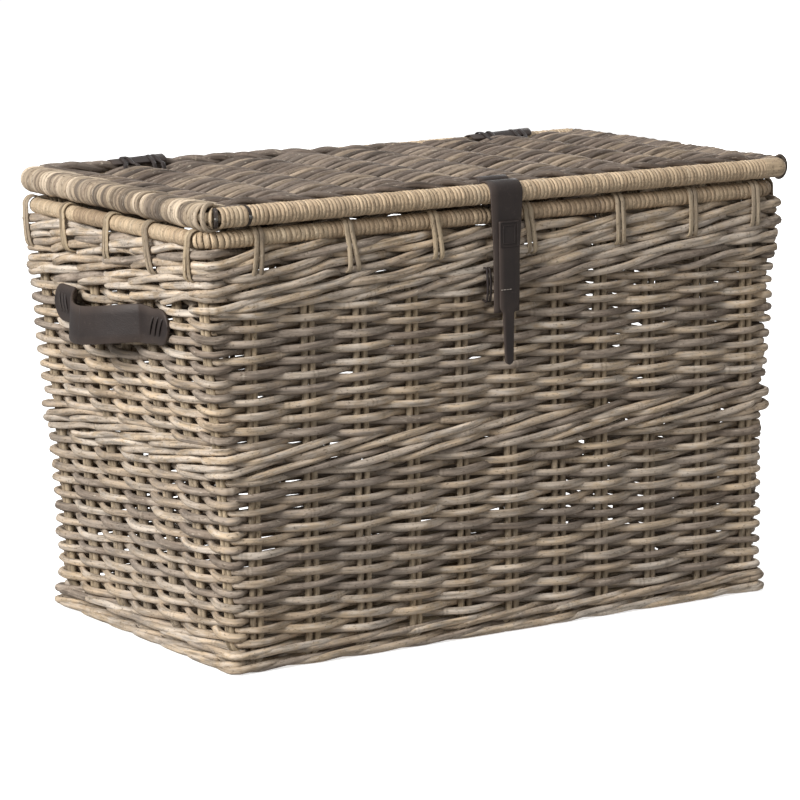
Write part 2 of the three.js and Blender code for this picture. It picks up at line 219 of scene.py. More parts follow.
def wall_points(u, out, z):
    """Points at stake count u, a distance out from the stakes' own surface, at height z."""
    u = np.asarray(u, float)
    z = np.broadcast_to(z, u.shape)
    stakes, length = stake_distances(float(np.mean(z)))
    where = np.concatenate(([stakes[-1] - length], stakes, stakes[:2] + length))
    s = np.interp(np.mod(u, ROUND), np.arange(-1, ROUND + 2), where)
    x, y, nx, ny = round_path(s, wall_straight(z), STRAIGHT_Y, STAKE_CORNER)
    out = out + np.where(x > 0, BULGE_RIGHT, BULGE_LEFT) * np.abs(2 * nx * ny)
    return join(x + nx * out, y + ny * out, z)


# ---- tubes in bulk ----


def unit(v):
    return v / np.maximum(np.linalg.norm(v, axis=-1, keepdims=True), 1e-12)


def join(*coordinates):
    """Points from their coordinates, each an array or one value for all."""
    return np.stack(np.broadcast_arrays(*coordinates), -1)


def drift(n, step, size):
    """A smooth random walk of n values that wanders by about size every step values."""
    knots = max(2, int(n / step) + 2)
    values = rng.normal(0, size, knots)
    t = np.linspace(0, knots - 1, n)
    i = np.minimum(t.astype(int), knots - 2)
    f = t - i
    f = f * f * (3 - 2 * f)
    return values[i] * (1 - f) + values[i + 1] * f


def tube_quads(count, sides, closed):
    """The four-sided faces between count rings of points."""
    k = np.arange(sides)
    k2 = (k + 1) % sides
    rows = np.arange(count if closed else count - 1)
    a = rows[:, None] * sides
    b = ((rows + 1) % count)[:, None] * sides
    return join(a + k, a + k2, b + k2, b + k).reshape(-1, 4)


KNOT_LENGTH = 0.0035
KNOT_SWELL = 0.05


class Strands:
    """Gathers many round or flat strands and makes them one mesh."""

    def __init__(self, sides=8):
        self.sides = sides
        self.points, self.grain, self.tone, self.node = [], [], [], []
        self.loops, self.sizes = [], []
        self.count = 0

    def add(self, path, radius, ref=(0, 0, 1), tone=None, flat=1.0, knots=None, closed=False):
        """radius is half the strand's width along ref; flat is its thickness over its width."""
        path = np.asarray(path, float)
        n = len(path)
        radius = np.broadcast_to(np.asarray(radius, float), (n,)).copy()
        if closed:
            tangent = unit(np.roll(path, -1, 0) - np.roll(path, 1, 0))
        else:
            tangent = unit(np.gradient(path, axis=0))
        steps = np.linalg.norm(np.diff(path, axis=0), axis=1)
        along = np.concatenate(([0], np.cumsum(steps)))
        node = np.zeros(n)
        if knots:
            first = rng.uniform(0, knots)
            nearest = np.abs(np.mod(along - first + knots / 2, knots) - knots / 2)
            node = np.exp(-((nearest / KNOT_LENGTH) ** 2))
            radius *= 1 + KNOT_SWELL * node
        ref = np.broadcast_to(np.asarray(ref, float), (n, 3))
        side = unit(np.cross(tangent, ref))
        wide = unit(np.cross(side, tangent))
        angle = np.arange(self.sides) * 2 * math.pi / self.sides
        c, s = np.cos(angle), np.sin(angle)
        thick = (radius * flat)[:, None, None] * side[:, None, :] * c[None, :, None]
        broad = radius[:, None, None] * wide[:, None, :] * s[None, :, None]
        ring = path[:, None, :] + thick + broad
        offset = rng.uniform(0, 50, 3)
        grain = np.empty((n, self.sides, 3))
        grain[..., 0] = along[:, None] + offset[0]
        grain[..., 1] = radius[:, None] * c[None, :] + offset[1]
        grain[..., 2] = radius[:, None] * s[None, :] + offset[2]
        tone = rng.uniform() if tone is None else tone
        self.points.append(ring.reshape(-1, 3))
        self.grain.append(grain.reshape(-1, 3))
        self.tone.append(np.full(n * self.sides, tone))
        self.node.append(np.repeat(node, self.sides))
        quads = tube_quads(n, self.sides, closed)
        self.loops.append(self.count + quads.reshape(-1))
        self.sizes.append(np.full(len(quads), 4))
        if not closed:
            k = np.arange(self.sides)
            self.loops.append(self.count + k[::-1])
            self.loops.append(self.count + (n - 1) * self.sides + k)
            self.sizes.append(np.full(2, self.sides))
        self.count += n * self.sides

    def build(self, name, material):
        points = np.concatenate(self.points)
        loops = np.concatenate(self.loops).astype(np.int32)
        sizes = np.concatenate(self.sizes).astype(np.int32)
        starts = np.concatenate(([0], np.cumsum(sizes)[:-1])).astype(np.int32)
        mesh = bpy.data.meshes.new(name)
        mesh.vertices.add(len(points))
        mesh.vertices.foreach_set("co", points.astype(np.float32).reshape(-1))
        mesh.loops.add(len(loops))
        mesh.loops.foreach_set("vertex_index", loops)
        mesh.polygons.add(len(sizes))
        mesh.polygons.foreach_set("loop_start", starts)
        mesh.polygons.foreach_set("loop_total", sizes)
        mesh.polygons.foreach_set("use_smooth", (sizes == 4).tolist())
        grain = mesh.attributes.new("grain", "FLOAT_VECTOR", "POINT")
        grain.data.foreach_set("vector", np.concatenate(self.grain).astype(np.float32).reshape(-1))
        for key, parts in (("tone", self.tone), ("node", self.node)):
            attribute = mesh.attributes.new(key, "FLOAT", "POINT")
            attribute.data.foreach_set("value", np.concatenate(parts).astype(np.float32))
        mesh.update(calc_edges=True)
        mesh.validate()
        mesh.materials.append(material)
        return add_object(name, mesh)


def add_mesh(name, points, faces, material):
    """A mesh object, smooth but for the many-sided faces that close its ends."""
    mesh = bpy.data.meshes.new(name)
    mesh.from_pydata(points, [], faces)
    mesh.polygons.foreach_set("use_smooth", [len(f) <= 4 for f in faces])
    mesh.materials.append(material)
    mesh.update()
    return add_object(name, mesh)


def settle(obj, body, slot, *nodes):
    """Puts a piece on its body and hides the CAD nodes that it stands for; its finish, slot, is not used."""
    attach(obj, body)
    if nodes:
        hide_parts(*nodes)


def bridge(obj, slot, moving, start, end, *nodes):
    """A piece that reaches from the basket, before start, to a moving body, after end; it hides the CAD nodes
    that it stands for and bakes its transform, and slot, moving, start and end are not used.
    """
    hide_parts(*nodes)
    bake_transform(obj)


# ---- materials ----


def shader(name, roughness, specular=0.4):
    material = bpy.data.materials.new(name)
    material.use_nodes = True
    tree = material.node_tree
    bsdf = tree.nodes["Principled BSDF"]
    bsdf.inputs["Roughness"].default_value = roughness
    bsdf.inputs["Specular IOR Level"].default_value = specular
    return material, tree, bsdf


def node(tree, kind, **settings):
    made = tree.nodes.new(kind)
    for key, value in settings.items():
        if key in made.inputs:
            made.inputs[key].default_value = value
        else:
            setattr(made, key, value)
    return made


def attribute(tree, name, output):
    return node(tree, "ShaderNodeAttribute", attribute_name=name).outputs[output]


def noise(tree, vector, scale, detail=4.0, stretch=(1, 1, 1)):
    mapping = node(tree, "ShaderNodeMapping", Scale=stretch)
    tree.links.new(vector, mapping.inputs["Vector"])
    made = node(tree, "ShaderNodeTexNoise", Scale=scale, Detail=detail)
    tree.links.new(mapping.outputs["Vector"], made.inputs["Vector"])
    return made.outputs["Fac"]


def ramp(tree, fac, stops):
    made = tree.nodes.new("ShaderNodeValToRGB")
    elements = made.color_ramp.elements
    while len(elements) < len(stops):
        elements.new(0.5)
    for element, (position, colour) in zip(elements, stops):
        element.position = position
        element.color = (*colour, 1)
    tree.links.new(fac, made.inputs["Fac"])
    return made.outputs["Color"]


def mix(tree, kind, fac, a, b):
    made = tree.nodes.new("ShaderNodeMix")
    made.data_type = "RGBA"
    made.blend_type = kind
    for socket, value in ((made.inputs[0], fac), (made.inputs[6], a), (made.inputs[7], b)):
        if isinstance(value, bpy.types.NodeSocket):
            tree.links.new(value, socket)
        elif socket == made.inputs[0]:
            socket.default_value = value
        else:
            socket.default_value = (*value, 1)
    return made.outputs[2]


def maths(tree, operation, a, b):
    made = node(tree, "ShaderNodeMath", operation=operation)
    for socket, value in zip(made.inputs, (a, b)):
        if isinstance(value, bpy.types.NodeSocket):
            tree.links.new(value, socket)
        else:
            socket.default_value = value
    return made.outputs[0]


def finish(tree, bsdf, colour, height, strength, distance, rough=None):
    """Links a colour, a bump of the given height and, if given, a roughness to the shader."""
    tree.links.new(colour, bsdf.inputs["Base Color"])
    made = node(tree, "ShaderNodeBump", Strength=strength, Distance=distance)
    tree.links.new(height, made.inputs["Height"])
    tree.links.new(made.outputs["Normal"], bsdf.inputs["Normal"])
    if rough is not None:
        tree.links.new(rough, bsdf.inputs["Roughness"])


def srgb(r, g, b):
    def linear(v):
        v /= 255
        return v / 12.92 if v <= 0.04045 else ((v + 0.055) / 1.055) ** 2.4

    return (linear(r), linear(g), linear(b))


def shades(*stops):
    """Colour stops from (position, red, green, blue)."""
    return [(place, srgb(*colour)) for place, *colour in stops]


def greys(*stops):
    return [(place, (value, value, value)) for place, value in stops]


def fade(tree, fac, low, high):
    """0 where fac is below low, 1 where it is above high."""
    return ramp(tree, fac, greys((low, 0), (high, 1)))


def tint(tree, colour, mask, amount, shade):
    """Takes the colour towards a shade where the mask is 1, by amount."""
    return mix(tree, "MIX", maths(tree, "MULTIPLY", mask, amount), colour, srgb(*shade))


def rattan(name, stops, streak=0.5, roughness=0.78, weather=0.3, spread=0.5):
    """Rattan: a tone of its own for each strand, long streaks, a grey film, dark specks, thin node rings."""
    material, tree, bsdf = shader(name, roughness, 0.25)
    grain = attribute(tree, "grain", "Vector")
    tone = attribute(tree, "tone", "Fac")
    place = tree.nodes.new("ShaderNodeTexCoord").outputs["Object"]
    patches = noise(tree, grain, 1.0, 3.0, (24, 60, 60))
    blotches = noise(tree, grain, 1.0, 5.0, (75, 190, 190))
    wander = maths(tree, "ADD", patches, maths(tree, "MULTIPLY", blotches, 1.2))
    shift = maths(tree, "MULTIPLY", maths(tree, "SUBTRACT", wander, 1.1), spread)
    colour = ramp(tree, maths(tree, "ADD", tone, shift), stops)
    streaks = noise(tree, grain, 1.0, 8.0, (24, 300, 300))
    lines = ramp(tree, streaks, greys((0.34, 1 - streak), (0.5, 0.95), (0.64, 1.3)))
    colour = mix(tree, "MULTIPLY", 1.0, colour, lines)
    cloud = fade(tree, noise(tree, place, 7.0), 0.38, 0.68)
    colour = tint(tree, colour, cloud, weather, (168, 157, 146))
    specks = fade(tree, noise(tree, grain, 1.0, 3.0, (300, 520, 520)), 0.60, 0.68)
    colour = tint(tree, colour, specks, 0.55, (84, 70, 56))
    frays = fade(tree, noise(tree, grain, 1.0, 4.0, (140, 480, 480)), 0.63, 0.70)
    colour = tint(tree, colour, frays, 0.45, (205, 193, 175))
    ring = attribute(tree, "node", "Fac")
    edge = ramp(tree, ring, greys((0.35, 0), (0.6, 1), (0.8, 0)))
    colour = tint(tree, colour, edge, 0.3, (88, 74, 60))
    colour = tint(tree, colour, fade(tree, ring, 0.8, 0.97), 0.25, (196, 182, 160))
    rough = ramp(tree, streaks, greys((0.3, roughness + 0.12), (0.7, roughness - 0.12)))
    height = maths(tree, "SUBTRACT", streaks, maths(tree, "MULTIPLY", specks, 0.3))
    height = maths(tree, "ADD", height, maths(tree, "MULTIPLY", blotches, 0.6))
    finish(tree, bsdf, colour, height, 0.85, 0.0011, rough)
    return material


WEAVE_STOPS = shades((0.0, 126, 111, 97), (0.2, 152, 138, 124), (0.4, 168, 148, 124),
                     (0.6, 182, 168, 152), (0.8, 184, 162, 134), (1.0, 192, 179, 164))
STAKE_STOPS = shades((0.0, 130, 114, 94), (0.5, 160, 142, 117), (1.0, 180, 161, 133))
LID_STOPS = shades((0.0, 84, 73, 65), (0.35, 107, 94, 84), (0.7, 127, 112, 99), (1.0, 148, 131, 112))
END_STOPS = shades((0.0, 104, 92, 80), (0.35, 138, 121, 102), (0.7, 166, 148, 125), (1.0, 190, 172, 149))
CANE_STOPS = shades((0.0, 132, 111, 89), (0.4, 165, 142, 115), (0.75, 184, 162, 133), (1.0, 196, 176, 148))
BAND_STOPS = shades((0.0, 46, 40, 37), (1.0, 66, 57, 52))


def leather():
    material, tree, bsdf = shader("dark_leather", 0.6, 0.35)
    place = tree.nodes.new("ShaderNodeTexCoord").outputs["Object"]
    cloud = noise(tree, place, 26.0, 5.0)
    colour = ramp(tree, cloud, shades((0.3, 37, 30, 28), (0.55, 46, 38, 35), (0.8, 56, 47, 42)))
    scuffs = fade(tree, noise(tree, place, 210.0, 6.0), 0.6, 0.75)
    colour = tint(tree, colour, scuffs, 0.22, (84, 73, 67))
    # lighter along the straps' two edges: a painted highlight of the edges catching the light
    colour = tint(tree, colour, attribute(tree, "edge", "Fac"), 0.15, (118, 100, 88))
    pores = node(tree, "ShaderNodeTexVoronoi", Scale=800.0)
    tree.links.new(place, pores.inputs["Vector"])
    creases = noise(tree, place, 110.0, 6.0)
    height = maths(tree, "ADD", maths(tree, "MULTIPLY", pores.outputs["Distance"], 0.5), creases)
    finish(tree, bsdf, colour, height, 0.4, 0.0007, ramp(tree, cloud, greys((0.3, 0.5), (0.8, 0.7))))
    return material


def nail_steel():
    material, tree, bsdf = shader("nail_steel", 0.35, 0.5)
    bsdf.inputs["Metallic"].default_value = 1.0
    place = tree.nodes.new("ShaderNodeTexCoord").outputs["Object"]
    grit = noise(tree, place, 900.0)
    colour = ramp(tree, grit, shades((0.3, 84, 80, 76), (0.7, 150, 146, 140)))
    finish(tree, bsdf, colour, grit, 0.3, 0.0002, ramp(tree, grit, greys((0.3, 0.5), (0.7, 0.28))))
    return material


def thread():
    material, tree, bsdf = shader("pale_thread", 0.85, 0.2)
    grain = attribute(tree, "grain", "Vector")
    fibres = noise(tree, grain, 1.0, 3.0, (2500, 900, 900))
    colour = ramp(tree, fibres, shades((0.3, 120, 110, 102), (0.7, 176, 166, 156)))
    finish(tree, bsdf, colour, fibres, 0.4, 0.0002)
    return material


WEAVE = rattan("weathered_rattan", WEAVE_STOPS)
STAKE = rattan("rib_rattan", STAKE_STOPS, streak=0.35)
LID = rattan("lid_rattan", LID_STOPS, weather=0.2)
END = rattan("lid_end_rattan", END_STOPS, weather=0.25, spread=0.35)
CANE = rattan("cane_peel", CANE_STOPS, streak=0.22, roughness=0.6, weather=0.1, spread=0.3)
BAND = rattan("dark_cane", BAND_STOPS, streak=0.3, roughness=0.6, weather=0.0, spread=0.3)
LEATHER = leather()
STEEL = nail_steel()
THREAD = thread()

# ---- walls ----

ROD_RADIUS = 0.0037
ROD_SPACING = 0.0090
STEP = 0.1
ROW_PITCH = 0.0079
STRAND_RADIUS = 0.0044
SWING = 0.0080
BEHIND_RISE = 0.0006
WALE_RADIUS = 0.0042
WALE_SWING = 0.0088
WALE_RISE = 0.0043
BASE_START = -0.0012
BASE_PITCH = 0.0135
BASE_RISE = 0.0018
MIDDLE_PITCH = 0.0160
TOP_PITCH = 0.0166
TOP_RADIUS = 0.0047
TOP_ROUGH = 2.2
CLEARANCE = 0.0002


def plain_wave(u, k):
    """(outward swing, rise) of a strand in front of every other stake, behind the rest, k stakes on."""
    p = np.mod(u - k + 1, 2) - 1
    swing = np.cos(math.pi * p)
    rise = BEHIND_RISE / 2 * (1 - swing)
    return swing, rise


def wale_wave(u, k):
    """(outward swing, rise from -1.6 to 1.6) of strand k of three: in front of two stakes, behind one."""
    p = np.mod(u - k + 0.5, 3) - 0.5
    front = np.clip(np.minimum(p + 1, 2 - p), 0, 1)
    swing = np.where((p > 0) & (p < 1), 1.0, np.cos(math.pi * (1 - front)))
    rise = np.where(p <= 1.5, np.clip((p - 0.5) * 2, -1.6, 1.6), 1.6 - 3.2 * (p - 1.5))
    return swing, rise


def pieces_of(spots, low, high):
    """Cuts one course into lengths of low to high stakes, which start and end behind a stake."""
    cuts = [0]
    while True:
        want = cuts[-1] + rng.uniform(low, high)
        later = [s for s in spots if s >= want and s < ROUND - 1]
        if not later:
            return list(zip(cuts, cuts[1:] + [ROUND]))
        cuts.append(later[0])


def lay(strands, u, out, z, radius, rough=1.0):
    """One length of weaver round the wall, with the small wanderings of real cane."""
    n = len(u)
    size = radius * rng.uniform(0.86, 1.12)
    taper = np.clip(np.minimum(u - u[0], u[-1] - u) / 0.3, 0, 1)
    thickness = size * (1 + drift(n, 14, 0.05)) * (0.72 + 0.28 * taper)
    height = z + drift(n, 10, 0.0009 * rough)
    height = np.maximum(height, thickness * 1.12 + CLEARANCE)
    path = wall_points(u, out + drift(n, 12, 0.0006 * rough), height)
    strands.add(path, thickness, knots=rng.uniform(0.16, 0.34), flat=rng.uniform(0.86, 0.96))


def plain_rows(strands, low, high):
    heights = course_heights(low, high, ROW_PITCH)
    for row, z in enumerate(heights):
        behind = [i for i in range(ROUND) if (i - row) % 2 == 1]
        for first, last in pieces_of(behind, 6, 16):
            u = np.arange(first - rng.uniform(0.2, 0.45), last + rng.uniform(0.2, 0.45), STEP)
            out, rise = plain_wave(u, row)
            lay(strands, u, out * SWING, z - BEHIND_RISE / 2 + rise, STRAND_RADIUS)


def wale_rows(strands, low, high, pitch, rise_size, radius=WALE_RADIUS, rough=1.0):
    for z in course_heights(low, high, pitch):
        shift = int(rng.integers(0, 3))
        for k in range(3):
            behind = [i for i in range(ROUND) if (i - k - shift) % 3 == 2]
            for first, last in pieces_of(behind, 4, 10):
                u = np.arange(first - rng.uniform(0.2, 0.5), last + rng.uniform(0.2, 0.6), STEP)
                out, rise = wale_wave(u, k + shift)
                lay(strands, u, out * WALE_SWING, z + rise * rise_size, radius, rough)


def course_heights(low, high, pitch):
    rows = max(1, round((high - low) / pitch))
    step = (high - low) / rows
    return [low + step * (i + 0.5) for i in range(rows)]


def make_walls():
    zones = [
        ("base_wale", wale_rows, BASE_START, base_high[2], BASE_PITCH, BASE_RISE),
        ("lower_weave", plain_rows, lower_low[2], lower_high[2]),
        ("middle_wale", wale_rows, middle_low[2], middle_high[2], MIDDLE_PITCH, WALE_RISE),
        ("upper_weave", plain_rows, upper_low[2], upper_high[2]),
        ("top_wale", wale_rows, top_low[2], top_high[2], TOP_PITCH, WALE_RISE, TOP_RADIUS, TOP_ROUGH),
    ]
    for node_name, weave, *sizes in zones:
        strands = Strands(9)
        weave(strands, *sizes)
        settle(strands.build(node_name + "_strands", WEAVE), "basket", "weathered_rattan", node_name)


make_walls()

# ---- ribs ----

RIB_BEND = 0.012
RIB_TOP = top_high[2] - 0.006
RIB_KNOTS = 0.22


def rib_path(half, floor_z):
    """(across, height) of a U-shaped rib, from one wall's top to the other's."""
    down = np.linspace(RIB_TOP, floor_z + RIB_BEND, 26)
    turn = np.linspace(0, math.pi / 2, 7)[1:]
    middle = np.linspace(-half + RIB_BEND, half - RIB_BEND, 30)[1:-1]
    side = np.concatenate([np.full(26, -half), -half + RIB_BEND * (1 - np.cos(turn))])
    rise = np.concatenate([down, floor_z + RIB_BEND * (1 - np.sin(turn))])
    across = np.concatenate([side, middle, -side[::-1]])
    height = np.concatenate([rise, np.full(len(middle), floor_z), rise[::-1]])
    return across, height


def rib(name, place, half, along_y):
    strands = Strands(8)
    across, height = rib_path(half, corners(name)[0][2] + 1.3 * ROD_RADIUS)
    if not along_y:
        across = across * (half_length(height) - WALL_HALF) / half
    n = len(across)
    for sign in (-1, 1):
        offset = place + sign * ROD_SPACING / 2 + drift(n, 12, 0.0007)
        radius = ROD_RADIUS * rng.uniform(0.92, 1.08) * (1 + drift(n, 10, 0.03))
        path = join(offset, across, height) if along_y else join(across, offset, height)
        strands.add(path, radius, ref=(1, 0, 0) if along_y else (0, 1, 0), knots=RIB_KNOTS)
    settle(strands.build(name + "_rods", STAKE), "basket", "rib_rattan", name)


for i, x in enumerate(cross_places):
    rib("cross_rib_%d" % (i + 1), x, DEPTH_HALF - WALL_HALF, True)
for i, y in enumerate(side_places):
    rib("side_rib_%d" % (i + 1), y, RIM_HALF - WALL_HALF, False)

# ---- flat weaving: floor and lid ----

FLOOR_Z = 0.0092
FLOOR_ROW = 0.0172
FLOOR_AMPLITUDE = 0.0048
FLOOR_RADIUS = 0.0041
LID_ROW = 0.0185
LID_AMPLITUDE = 0.0075
LID_RADIUS = 0.0046
LID_CROWN = 0.003
PANEL_TUCK = 0.007


def flat_rows(strands, ribs, low, high, z, row_pitch, amplitude, radius, lift=None):
    """Twined pairs that run along X over and under ribs that run along Y, inside a box from low to high."""
    spacing = ribs[1] - ribs[0]
    counts = np.concatenate(([(low[0] - ribs[0]) / spacing], np.arange(len(ribs)),
                             [len(ribs) - 1 + (high[0] - ribs[-1]) / spacing]))
    knots = np.concatenate(([low[0]], ribs, [high[0]]))
    for y in course_heights(low[1], high[1], row_pitch):
        shift = rng.integers(0, 2)
        for k in range(2):
            u = np.arange(counts[0], counts[-1] + 0.01, STEP)
            x = np.interp(u, counts, knots)
            phase = math.pi * (u + k + shift)
            n = len(u)
            across = y + np.sin(phase) * radius + drift(n, 8, 0.001)
            height = z + np.cos(phase) * (amplitude + drift(n, 10, 0.0005))
            if lift is not None:
                height = height + lift(x, across)
            size = radius * rng.uniform(0.9, 1.1) * (1 + drift(n, 10, 0.05))
            height = np.maximum(height, 1.12 * size)
            strands.add(join(x, across, height), size, ref=(0, 1, 0), knots=0.24, flat=0.92)


def make_floor():
    strands = Strands(8)
    flat_rows(strands, np.array(cross_places), floor_low, floor_high, FLOOR_Z,
              FLOOR_ROW, FLOOR_AMPLITUDE, FLOOR_RADIUS)
    settle(strands.build("floor_strands", WEAVE), "basket", "weathered_rattan", "floor_weave")


make_floor()


def lid_crown(x, y):
    """The lid's panel stands a little proud in the middle."""
    middle = (panel_low + panel_high) / 2
    half = (panel_high - panel_low) / 2
    across = np.clip(1 - ((x - middle[0]) / half[0]) ** 4, 0, 1)
    along = np.clip(1 - ((y - middle[1]) / half[1]) ** 4, 0, 1)
    return LID_CROWN * across * along


def make_lid_panel():
    strands = Strands(9)
    reach = np.array([PANEL_TUCK, 0, 0])
    flat_rows(strands, np.array(lid_rib_places), panel_low - reach, panel_high + reach, LID_AXIS_Z,
              LID_ROW, LID_AMPLITUDE, LID_RADIUS, lid_crown)
    settle(strands.build("lid_panel_strands", LID), "lid", "weathered_rattan", "lid_weave")


make_lid_panel()


def lid_rib(i, x):
    strands = Strands(8)
    y = np.linspace(panel_low[1] - 0.002, panel_high[1] + 0.006, 40)
    for sign in (-1, 1):
        across = x + sign * ROD_SPACING / 2 + drift(40, 10, 0.0005)
        path = join(across, y, LID_AXIS_Z + lid_crown(across, y))
        strands.add(path, ROD_RADIUS * rng.uniform(0.9, 1.0), ref=(0, 0, 1), knots=RIB_KNOTS)
    name = "lid_rib_%d" % i
    settle(strands.build(name + "_rods", STAKE), "lid", "rib_rattan", name)


for i, x in enumerate(lid_rib_places):
    lid_rib(i + 1, x)

# ---- poles and windings ----

RIM_CORNER = 0.026
LID_CORNER = 0.012
RIM_ROD = 0.0076
LID_ROD = 0.0088
LID_CORE = 0.0054
RIM_CANE = 0.0010
LID_CANE = 0.0013
SIDE_CANE = 0.0008
FINE_PITCH = 0.0036
COARSE_PITCH = 0.0060
BACK_PITCH = 0.0055
TURN_POINTS = 16


class Pole:
    """A pole bent into a rounded rectangle, with its windings."""

    def __init__(self, low, high, axis_z, corner):
        self.centre = (low + high) / 2
        half = (high - low) / 2
        self.straight_x = half[0] - half[2] - corner
        self.straight_y = half[1] - half[2] - corner
        self.z = axis_z
        self.corner = corner
        self.arc = corner * math.pi / 2
        self.left = self.straight_x + self.arc
        self.front = self.left + 2 * self.straight_y + self.arc
        self.right = self.front + 2 * self.straight_x + self.arc
        self.back = self.right + 2 * self.straight_y + self.arc
        self.length = self.back + self.straight_x

    def frame_at(self, s):
        x, y, nx, ny = round_path(s, self.straight_x, self.straight_y, self.corner)
        middle = join(x + self.centre[0], y + self.centre[1], self.z)
        return middle, join(nx, ny, 0)

    def rod(self, name, radius, body, node_name):
        strands = Strands(12)
        middle, _ = self.frame_at(np.linspace(0, self.length, 240, endpoint=False))
        strands.add(middle, radius, closed=True)
        settle(strands.build(name, STAKE), body, "pole_rattan", node_name)

    def turn(self, strands, s, inner, half_width, half_thick, tone, lean=0.0):
        """One turn of cane round the pole at s, leaning by lean along it from top to bottom."""
        angle = np.linspace(0, 2 * math.pi, TURN_POINTS, endpoint=False)
        middle, normal = self.frame_at(s + lean * np.cos(angle + 0.6))
        ahead, _ = self.frame_at(s + lean * np.cos(angle + 0.6) + 0.0005)
        radius = inner + half_thick
        ring = normal * (np.cos(angle) * radius)[:, None]
        ring[:, 2] += np.sin(angle) * radius
        strands.add(middle + ring, half_width, ref=unit(ahead - middle), flat=half_thick / half_width,
                    tone=tone, closed=True)

    def wind(self, strands, first, last, inner, pitch, half_thick, length):
        """Turns side by side from first to last, in lengths of cane that differ in tone and width."""
        s = first
        end_of_length = first
        tone, wide = 0.5, pitch
        while s < last:
            if s >= end_of_length:
                end_of_length = s + length * rng.uniform(0.5, 1.5)
                tone, wide = rng.uniform(0.3, 0.85), pitch * rng.uniform(0.9, 1.1)
            step = wide * rng.uniform(0.94, 1.06)
            shade = float(np.clip(tone + rng.normal(0, 0.08), 0.2, 1))
            thick = half_thick * rng.uniform(0.85, 1.1)
            self.turn(strands, s + step / 2, inner, step * 0.62, thick, shade, lean=step * 0.3)
            s += step


rim = Pole(rim_low, rim_high, RIM_AXIS_Z, RIM_CORNER)
lid = Pole(lid_low, lid_high, LID_AXIS_Z, LID_CORNER)
rim.rod("rim_pole_rod", RIM_ROD, "basket", "rim_pole")
lid.rod("lid_frame_rod", LID_CORE, "lid", "lid_frame")


def wrap_rim():
    half = rim.arc / 2
    front, back = rim.left + 2 * rim.straight_y, rim.length + rim.straight_x + half
    fine, coarse = (FINE_PITCH, SIDE_CANE, 0.10), (COARSE_PITCH, RIM_CANE, 0.25)
    sides = [
        ("left", rim.left - half, front, fine),
        ("front", front, rim.right - half, coarse),
        ("right", rim.right - half, rim.right + 2 * rim.straight_y + half, fine),
        ("back", rim.back - half, back, coarse),
    ]
    for side, first, last, cane in sides:
        strands = Strands(6)
        rim.wind(strands, first, last, RIM_ROD, *cane)
        settle(strands.build("rim_cane_" + side, CANE), "basket", "cane_peel", "rim_wrap_" + side)


wrap_rim()

WIDE_TURN = 0.0056
FINE_TURN = 0.0044
WIDE_REACH = 0.022
BAND_HALF = 0.0022
CAP_LENGTH = 0.027
CAP_TURN = 0.62


def nail_places():
    """How far along the lid's pole each nail is."""
    found = []
    for name in ("lid_nail_1", "lid_nail_2"):
        middle = sum(corners(name)) / 2
        at_x = middle[0] - lid.centre[0]
        over = -lid.straight_x - at_x
        if over > 0:
            found.append(lid.front - lid.corner * math.pi / 8)
        else:
            found.append(lid.front + lid.straight_x + at_x)
    return found


def wide_turns(strands, first, last):
    """Broad turns of cane that fill the pole from first to last."""
    count = max(1, round((last - first) / WIDE_TURN))
    width = (last - first) / count
    for i in range(count):
        tone = rng.uniform(0.45, 0.95)
        lid.turn(strands, first + (i + 0.5) * width, LID_ROD, width * 0.57, LID_CANE, tone)


def wrap_lid_front():
    """Cream cane with two dark bands under the nails on the left and a smooth end on the right."""
    strands = Strands(6)
    bands = Strands(8)
    first, second = nail_places()
    start = lid.front - lid.arc * 0.5
    for inset, shrink in ((0.0, 0.55), (0.0012, 0.8)):
        lid.turn(strands, start + inset, LID_ROD * shrink, WIDE_TURN * 0.4, LID_CANE, 0.9)
    s = start + 0.001
    for nail_at in (first, second):
        wide_turns(strands, s, nail_at - BAND_HALF)
        lid.turn(bands, nail_at, LID_ROD, BAND_HALF * 1.1, LID_CANE * 0.8, 0.5)
        s = nail_at + BAND_HALF
    wide_turns(strands, s, second + WIDE_REACH)
    settle(bands.build("lid_dark_bands", BAND), "lid", "cane_peel")
    end = lid.front + 2 * lid.straight_x + lid.arc * CAP_TURN
    lid.wind(strands, second + WIDE_REACH, end - CAP_LENGTH, LID_ROD, FINE_TURN, LID_CANE, 0.25)
    settle(strands.build("lid_cane_front", CANE), "lid", "cane_peel", "lid_wrap_front")
    lid_cap(end)


def lid_cap(end):
    """The smooth cap that rounds off the front winding's right end."""
    cap = Strands(24)
    along = np.linspace(end - CAP_LENGTH - 0.002, end, 28)
    left = np.clip((end - along) / 0.006, 0, 1)
    middle, _ = lid.frame_at(along)
    radius = (LID_ROD + 2 * LID_CANE - 0.0002) * np.sqrt(1 - (1 - left) ** 2 * 0.85)
    cap.add(middle, radius * (1 + 0.012 * np.sin(along * 1900)), tone=0.7)
    settle(cap.build("lid_cane_cap", CANE), "lid", "cane_peel")


def wrap_lid_back():
    strands = Strands(6)
    lid.wind(strands, lid.back - lid.arc * 0.5, lid.length + lid.straight_x + lid.arc * 0.5,
             LID_ROD, BACK_PITCH, LID_CANE, 0.25)
    settle(strands.build("lid_cane_back", CANE), "lid", "cane_peel", "lid_wrap_back")


wrap_lid_front()
wrap_lid_back()

END_STRAND = 0.0028
END_PITCH = 0.0054


